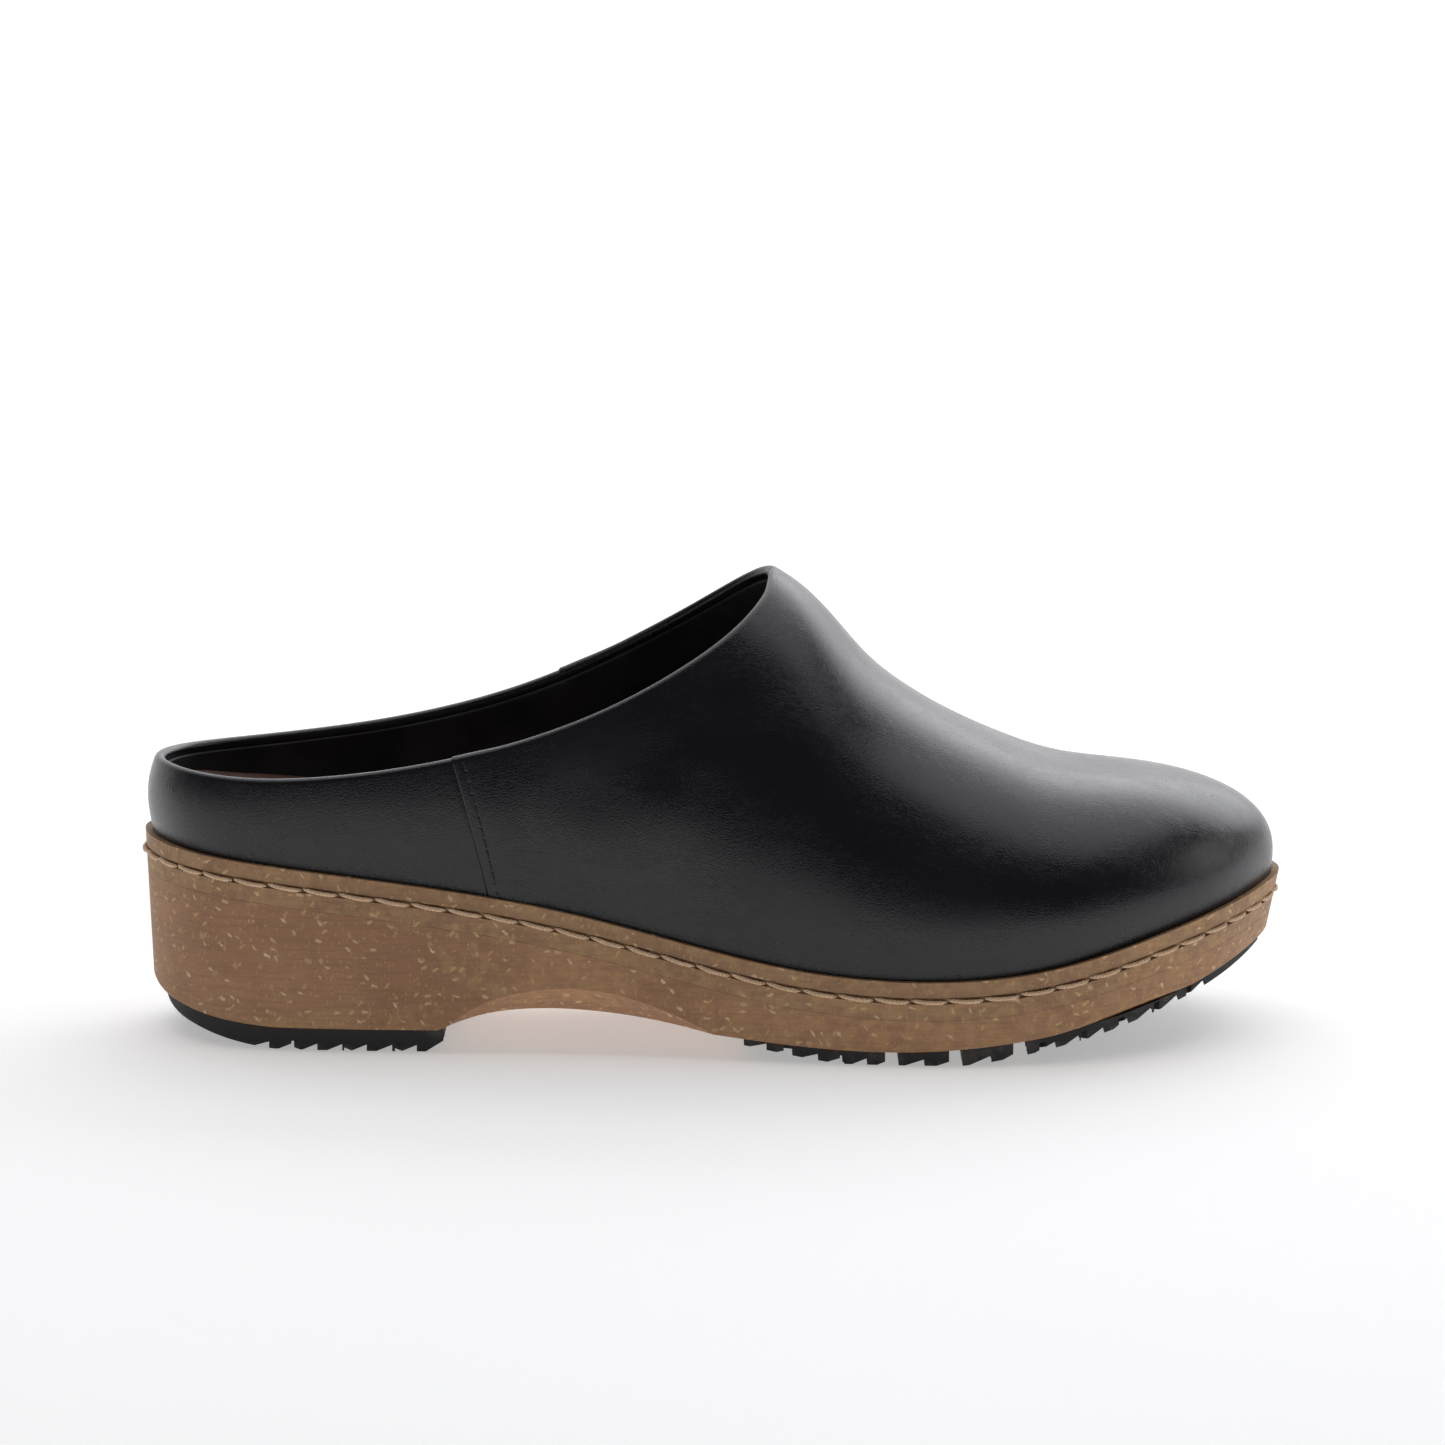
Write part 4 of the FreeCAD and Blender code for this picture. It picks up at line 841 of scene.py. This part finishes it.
def buildVamp():
    drop = upperFacts["foldRadius"]
    columns, place, shared, throat = vampColumns(drop)
    count = len(columns)
    rear = upperFacts["seamFoot"]
    x = np.array([p[1] for p in place])
    foot = np.array([rear[p[0]] for p in place])
    lift = upperFacts["seamLift"] * (1 - smoothStep(np.abs(x - foot), 3.0, 13.0))
    openTop = list(range(0, throat[0] + 1)) + list(range(throat[1] + 1, count))
    bridge = (throat[0], throat[1] + 1)
    verts, faces, ids = leatherShell(
        columns, shared, openTop, lift, np.zeros(count), bridge, [(0, 1), (count - 1, -1)])
    # where each point lies from the seam, for the row of stitch holes
    seam = np.full((len(verts), 2), 99.0)
    grid = verts[:ids.size].reshape(count, -1, 3)
    for start, sign in ((0, 1), (count - 1, -1)):
        span = [start + sign * k for k in range(16)]
        rise = np.concatenate([[0], np.cumsum(np.linalg.norm(np.diff(grid[start], axis=0), axis=1))])
        reach = np.zeros(grid.shape[1])
        for k, c in enumerate(span):
            if k:
                reach = reach + np.linalg.norm(grid[c] - grid[span[k - 1]], axis=1)
            seam[c * grid.shape[1]:(c + 1) * grid.shape[1]] = np.stack([reach, rise], 1)
    piece = makePiece("vampShell", verts, faces, [vampLeather], {"seam": seam})
    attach(piece, "root")
    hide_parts("vamp")
    return grid


def buildQuarter():
    drop = upperFacts["foldRadius"]
    columns, place = quarterColumns(drop)
    count = len(columns)
    x = np.array([p[1] for p in place])
    foot = np.array([upperFacts["seamFoot"][p[0]] for p in place])
    sink = 1.0 * smoothStep(x - foot, -0.2, 1.6) + 0.35 * smoothStep(x - foot, 1.6, upperFacts["lap"])
    verts, faces, _ = leatherShell(columns, [], list(range(count)), np.zeros(count), sink, None, [])
    piece = makePiece("quarterShell", verts, faces, [quarterLeather])
    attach(piece, "root")
    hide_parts("heel_quarter")


vampGrid = buildVamp()
buildQuarter()
print("leather built")


# ---- lining ----


def liningSheet(name, node, columns, shared):
    # a lining: its visible inner face, a thin top edge and a back face against the leather
    depth = upperFacts["liningDepth"]
    inner, ids, _ = buildShell(columns, shared, depth + upperFacts["liningThick"])
    outer, _, _ = buildShell(columns, shared, depth)
    n = len(inner)
    verts = np.vstack([inner, outer])
    faces = gridFaces(ids) + gridFaces(ids + n)
    closed = {a for a, _ in shared} | {b for _, b in shared}
    for c in range(len(columns) - 1):
        if c in closed and c + 1 in closed:
            continue
        for r in (0, -1):
            a, b = int(ids[c, r]), int(ids[c + 1, r])
            faces.append([a, b, b + n, a + n])
    faces = [q for q in faces if len(set(q)) == len(q)]
    piece = makePiece(name, verts, uniformFaces(verts, faces), [liningSkin])
    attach(piece, "root")
    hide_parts(node)


def buildLinings():
    drop = upperFacts["liningDrop"]
    columns, _, shared, _ = vampColumns(drop)
    liningSheet("vampLining", "vamp_lining", columns, shared)
    columns, _ = quarterColumns(drop)
    liningSheet("quarterLining", "quarter_lining", columns[3:-3], [])


buildLinings()
print("lining built")


# ---- footbed and its leather cover ----

footbedFacts = {
    "inset": 5.45, "boardTop": 0.5,     # how far inside the welt's edge, and the insole board's top over the rim
    "heelThick": 6.5, "ballThick": 4.0, "cover": 1.1, "cup": 2.8, "dish": 1.2, "arch": 4.5,
}


def bedHeight(x, y, t):
    # the height of the footbed's top: cupped at the heel, raised at the arch, dished under the ball
    f = footbedFacts
    base = rim(x) + f["boardTop"] - 0.05 + f["heelThick"]
    base = base + smoothStep(x, -60, 30) * (f["ballThick"] - f["heelThick"])
    heel = 1 - smoothStep(x, -70, 10)
    cup = f["cup"] * (0.35 + 0.65 * heel) * np.abs(t) ** 3.2 - f["dish"] * heel * (1 - t * t)
    arch = f["arch"] * np.exp(-((x + 22) / 30) ** 2) * smoothStep(t, 0.1, 1.0)
    back = 1.6 * smoothStep(-x, 112, 130)
    return base + cup + arch + back


def bedMesh(name, onPad, topLift, mats):
    # a pad from the insole board up, or a thin cover that lies on the pad
    f = footbedFacts
    sides = insetSides(f["inset"])
    middle, reach = (sides["heel"][0] + sides["toe"][0]) / 2, (sides["toe"][0] - sides["heel"][0]) / 2
    a = np.linspace(0.012, 0.988, 110)
    x = middle - reach * np.cos(np.pi * a)
    t = np.concatenate([[-1.0], np.sin(np.linspace(-1.53, 1.53, 33)), [1.0]])
    low = np.interp(x, sides[lateral][:, 0], sides[lateral][:, 1])
    high = np.interp(x, sides[medial][:, 0], sides[medial][:, 1])
    columns = []
    for k in range(len(x)):
        y = (low[k] + high[k]) / 2 + t * (high[k] - low[k]) / 2
        end = 0.5 * (smoothStep(np.abs(a[k] - 0.5), 0.47, 0.488))
        edge = 0.7 * smoothStep(np.abs(t), 0.975, 1.0) + end
        top = bedHeight(x[k], y, t) + topLift - edge
        bottom = bedHeight(x[k], y, t) if onPad else np.full_like(y, rim(x[k]) + f["boardTop"])
        upper = np.stack([np.full_like(y, x[k]), y, top], 1)
        under = np.stack([np.full_like(y, x[k]), y, np.minimum(bottom, top - 0.2)], 1)[::-1]
        columns.append(np.vstack([upper, under, upper[:1]]))
    verts = np.array(columns)[:, :-1]
    count = verts.shape[1]
    flat = verts.reshape(-1, 3)
    ids = np.arange(len(flat)).reshape(len(x), count)
    faces = gridFaces(np.hstack([ids, ids[:, :1]]))
    faces.append([int(i) for i in ids[0]])
    faces.append([int(i) for i in ids[-1][::-1]])
    return makePiece(name, flat, uniformFaces(flat, faces), mats)


footbed = bedMesh("footbedPad", False, 0.0, [footbedFoam])
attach(footbed, "root")
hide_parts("footbed")
sockCover = bedMesh("sockCover", True, footbedFacts["cover"], [sockSkin])
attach(sockCover, "root")
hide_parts("sock_cover")
print("footbed built")


# ---- threads ----

threadFacts = {
    "weltPitch": 8.43, "weltRadius": 0.53, "weltDrop": 4.3, "groove": 0.8, "phaseX": 19.95,
    "strands": 3, "twist": 2.6, "seamRadius": 0.26, "seamPitch": 2.6, "seamLine": 2.0,
}


def draft(x):
    return 0.041 + 0.06 * smoothStep(x, -40, 30) + 0.1 * smoothStep(x, 80, 134)


def twistedRun(path, normalOut, radius, strands, twist, sides=6):
    # strands wound round a path, pinched where the thread enters the material
    verts, faces = [], []
    steps = np.concatenate([[0], np.cumsum(np.linalg.norm(np.diff(path, axis=0), axis=1))])
    tangent = np.gradient(path, axis=0)
    tangent /= np.linalg.norm(tangent, axis=1, keepdims=True)
    across = np.cross(tangent, normalOut)
    across /= np.linalg.norm(across, axis=1, keepdims=True)
    up = np.cross(across, tangent)
    share = steps / steps[-1]
    pinch = np.minimum(1, 0.55 + 3.2 * np.minimum(share, 1 - share))
    for s in range(strands):
        angle = 2 * np.pi * (s / strands + steps / twist)
        ply = radius * 0.47
        centre = path + (across * np.cos(angle)[:, None] + up * np.sin(angle)[:, None]) * (ply * pinch)[:, None]
        first = len(verts)
        for k in range(len(path)):
            for j in range(sides):
                a = 2 * np.pi * j / sides
                r = radius * 0.58 * pinch[k]
                verts.append(centre[k] + (across[k] * math.cos(a) + up[k] * math.sin(a)) * r)
        for k in range(len(path) - 1):
            for j in range(sides):
                q = [first + k * sides + j, first + k * sides + (j + 1) % sides]
                faces.append([q[0], q[1], q[1] + sides, q[0] + sides])
        faces.append([first + j for j in range(sides)][::-1])
        faces.append([first + (len(path) - 1) * sides + j for j in range(sides)])
    return verts, faces


def buildWeltThread():
    f = threadFacts
    z = rim(outline[:, 0]) - f["weltDrop"]
    inset = f["weltDrop"] * draft(outline[:, 0]) + f["groove"] - f["weltRadius"] - 0.2
    p = np.column_stack([outline - outlineNormal * inset[:, None], z])
    out = np.column_stack([outlineNormal, np.zeros(len(p))])
    ring = np.vstack([p, p[:1]])
    reach = np.concatenate([[0], np.cumsum(np.linalg.norm(np.diff(ring, axis=0), axis=1))])
    count = round(reach[-1] / f["weltPitch"])
    pitch = reach[-1] / count
    near = np.where(outline[:, 1] < 0, np.abs(outline[:, 0] - f["phaseX"]), 999).argmin()
    verts, faces = [], []
    for i in range(count):
        start = reach[near] + i * pitch
        s = np.linspace(0.25, pitch - 0.35, 15)
        at = (start + s) % reach[-1]
        path = np.stack([np.interp(at, reach, ring[:, k]) for k in range(3)], 1)
        o = np.stack([np.interp(at, reach[:-1], out[:, k]) for k in range(3)], 1)
        t = s / pitch
        bow = 0.34 * np.sin(np.pi * t) ** 0.6 - 0.55 * (np.exp(-t * 14) + np.exp(-(1 - t) * 14))
        wobble = random.uniform(-0.08, 0.08)
        path = path + o * (bow + wobble)[:, None]
        path[:, 2] += 0.42 * (0.5 - t) + random.uniform(-0.06, 0.06) - 0.25 * np.sin(np.pi * t)
        v, q = twistedRun(path, o, f["weltRadius"], f["strands"], f["twist"])
        faces.extend([[k + len(verts) for k in face] for face in q])
        verts.extend(v)
    piece = makePiece("weltStitches", np.array(verts), faces, [weltYarn])
    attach(piece, "root")
    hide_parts("welt_thread")


def buildSeamThread(name, node, side):
    # short stitches that sit in their holes just in front of the vamp's edge
    f = threadFacts
    cols = vampGrid if side == lateral else vampGrid[::-1]
    reach = np.zeros(cols.shape[1])
    lines = [reach.copy()]
    for k in range(1, 10):
        reach = reach + np.linalg.norm(cols[k] - cols[k - 1], axis=1)
        lines.append(reach.copy())
    lines = np.array(lines)
    row = np.array([
        [np.interp(f["seamLine"], lines[:, r], cols[:10, r, k]) for k in range(3)] for r in range(cols.shape[1])])
    rise = np.concatenate([[0], np.cumsum(np.linalg.norm(np.diff(cols[0], axis=0), axis=1))])
    verts, faces = [], []
    total = rise[-1] - 1.0
    k = 1
    while (k + 1) * f["seamPitch"] < total:
        s = np.linspace((k + 0.5) * f["seamPitch"] + 0.12, (k + 1.5) * f["seamPitch"] - 0.12, 7)
        path = np.stack([np.interp(s, rise, row[:, a]) for a in range(3)], 1)
        o = np.tile([0.0, side, 0.12], (7, 1))
        o /= np.linalg.norm(o, axis=1, keepdims=True)
        t = np.linspace(0, 1, 7)
        path = path + o * (0.10 - 0.5 * (np.exp(-t * 7) + np.exp(-(1 - t) * 7)))[:, None]
        v, q = twistedRun(path, o, f["seamRadius"], 2, 1.1, 5)
        faces.extend([[j + len(verts) for j in face] for face in q])
        verts.extend(v)
        k += 1
    piece = makePiece(name, np.array(verts), faces, [seamYarn])
    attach(piece, "root")
    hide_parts(node)


buildWeltThread()
buildSeamThread("lateralStitches", "lateral_seam_thread", lateral)
buildSeamThread("medialStitches", "medial_seam_thread", medial)
print("threads built")


# ---- floor, light and camera ----

studio = {
    "floorHalf": 3.0, "backWall": 1.7, "wallHeight": 3.2, "wallCurve": 0.8,
    "floorGlow": 0.38, "world": 0.07,
    "lamps": [   # name, place, size, power, colour, what it points at
        ("overhead", (0.1, 0.5, 1.75), (2.7, 2.0), 22.0, (0.965, 0.97, 1.0), (0.1, 0.42, 0.0)),
        ("behind", (0.50, 1.55, 0.95), (2.5, 0.9), 15.5, (0.955, 0.96, 1.0), (0.1, 0.0, 0.05)),
        ("rightSide", (1.7, 0.1, 0.6), (0.8, 0.9), 3.0, (1.0, 1.0, 1.0), (0.1, 0.0, 0.05)),
    ],
}


def buildStudio():
    f = studio
    profile = [(-f["floorHalf"], 0.0), (f["backWall"] - f["wallCurve"], 0.0)]
    for k in range(1, 13):
        a = math.pi / 2 * k / 12
        profile.append((f["backWall"] - f["wallCurve"] + f["wallCurve"] * math.sin(a),
                        f["wallCurve"] * (1 - math.cos(a))))
    profile.append((f["backWall"], f["wallHeight"]))
    verts, faces = [], []
    for x in (-f["floorHalf"], f["floorHalf"]):
        verts.extend([(x / mm, y / mm, z / mm) for y, z in profile])
    n = len(profile)
    for k in range(n - 1):
        faces.append([k, k + n, k + n + 1, k + 1])
    floor = makePiece("floorSweep", np.array(verts), faces, [makeFloor(f["floorGlow"])])
    for name, place, size, power, colour, target in f["lamps"]:
        data = bpy.data.lights.new(name, "AREA")
        data.shape, data.size, data.size_y, data.energy = "RECTANGLE", size[0], size[1], power
        data.color = colour
        lamp = bpy.data.objects.new(name, data)
        lamp.location = place
        lamp.rotation_euler = (Vector(target) - Vector(place)).to_track_quat("-Z", "Y").to_euler()
        bpy.context.scene.collection.objects.link(lamp)
    world = bpy.data.worlds.new("studioAir")
    world.use_nodes = True
    world.node_tree.nodes["Background"].inputs[0].default_value = (1.0, 1.0, 1.0, 1.0)
    world.node_tree.nodes["Background"].inputs[1].default_value = f["world"]
    bpy.context.scene.world = world
    bpy.context.scene.view_settings.view_transform = "Standard"


cameraFacts = {"lens": 138.1, "tilt": math.radians(9.5), "far": 1.3, "target": (0.0021, 0.0, 0.0720)}


def buildCamera():
    data = bpy.data.cameras.new("camera")
    data.sensor_width, data.lens = 36.0, cameraFacts["lens"]
    data.clip_start, data.clip_end = 0.05, 30
    camera = bpy.data.objects.new("camera", data)
    tilt, far = cameraFacts["tilt"], cameraFacts["far"]
    target = Vector(cameraFacts["target"])
    camera.location = target + Vector((0, -math.cos(tilt) * far, math.sin(tilt) * far))
    camera.rotation_euler = (target - camera.location).to_track_quat("-Z", "Y").to_euler()
    bpy.context.scene.collection.objects.link(camera)
    bpy.context.scene.camera = camera


buildStudio()
buildCamera()
print("studio built")
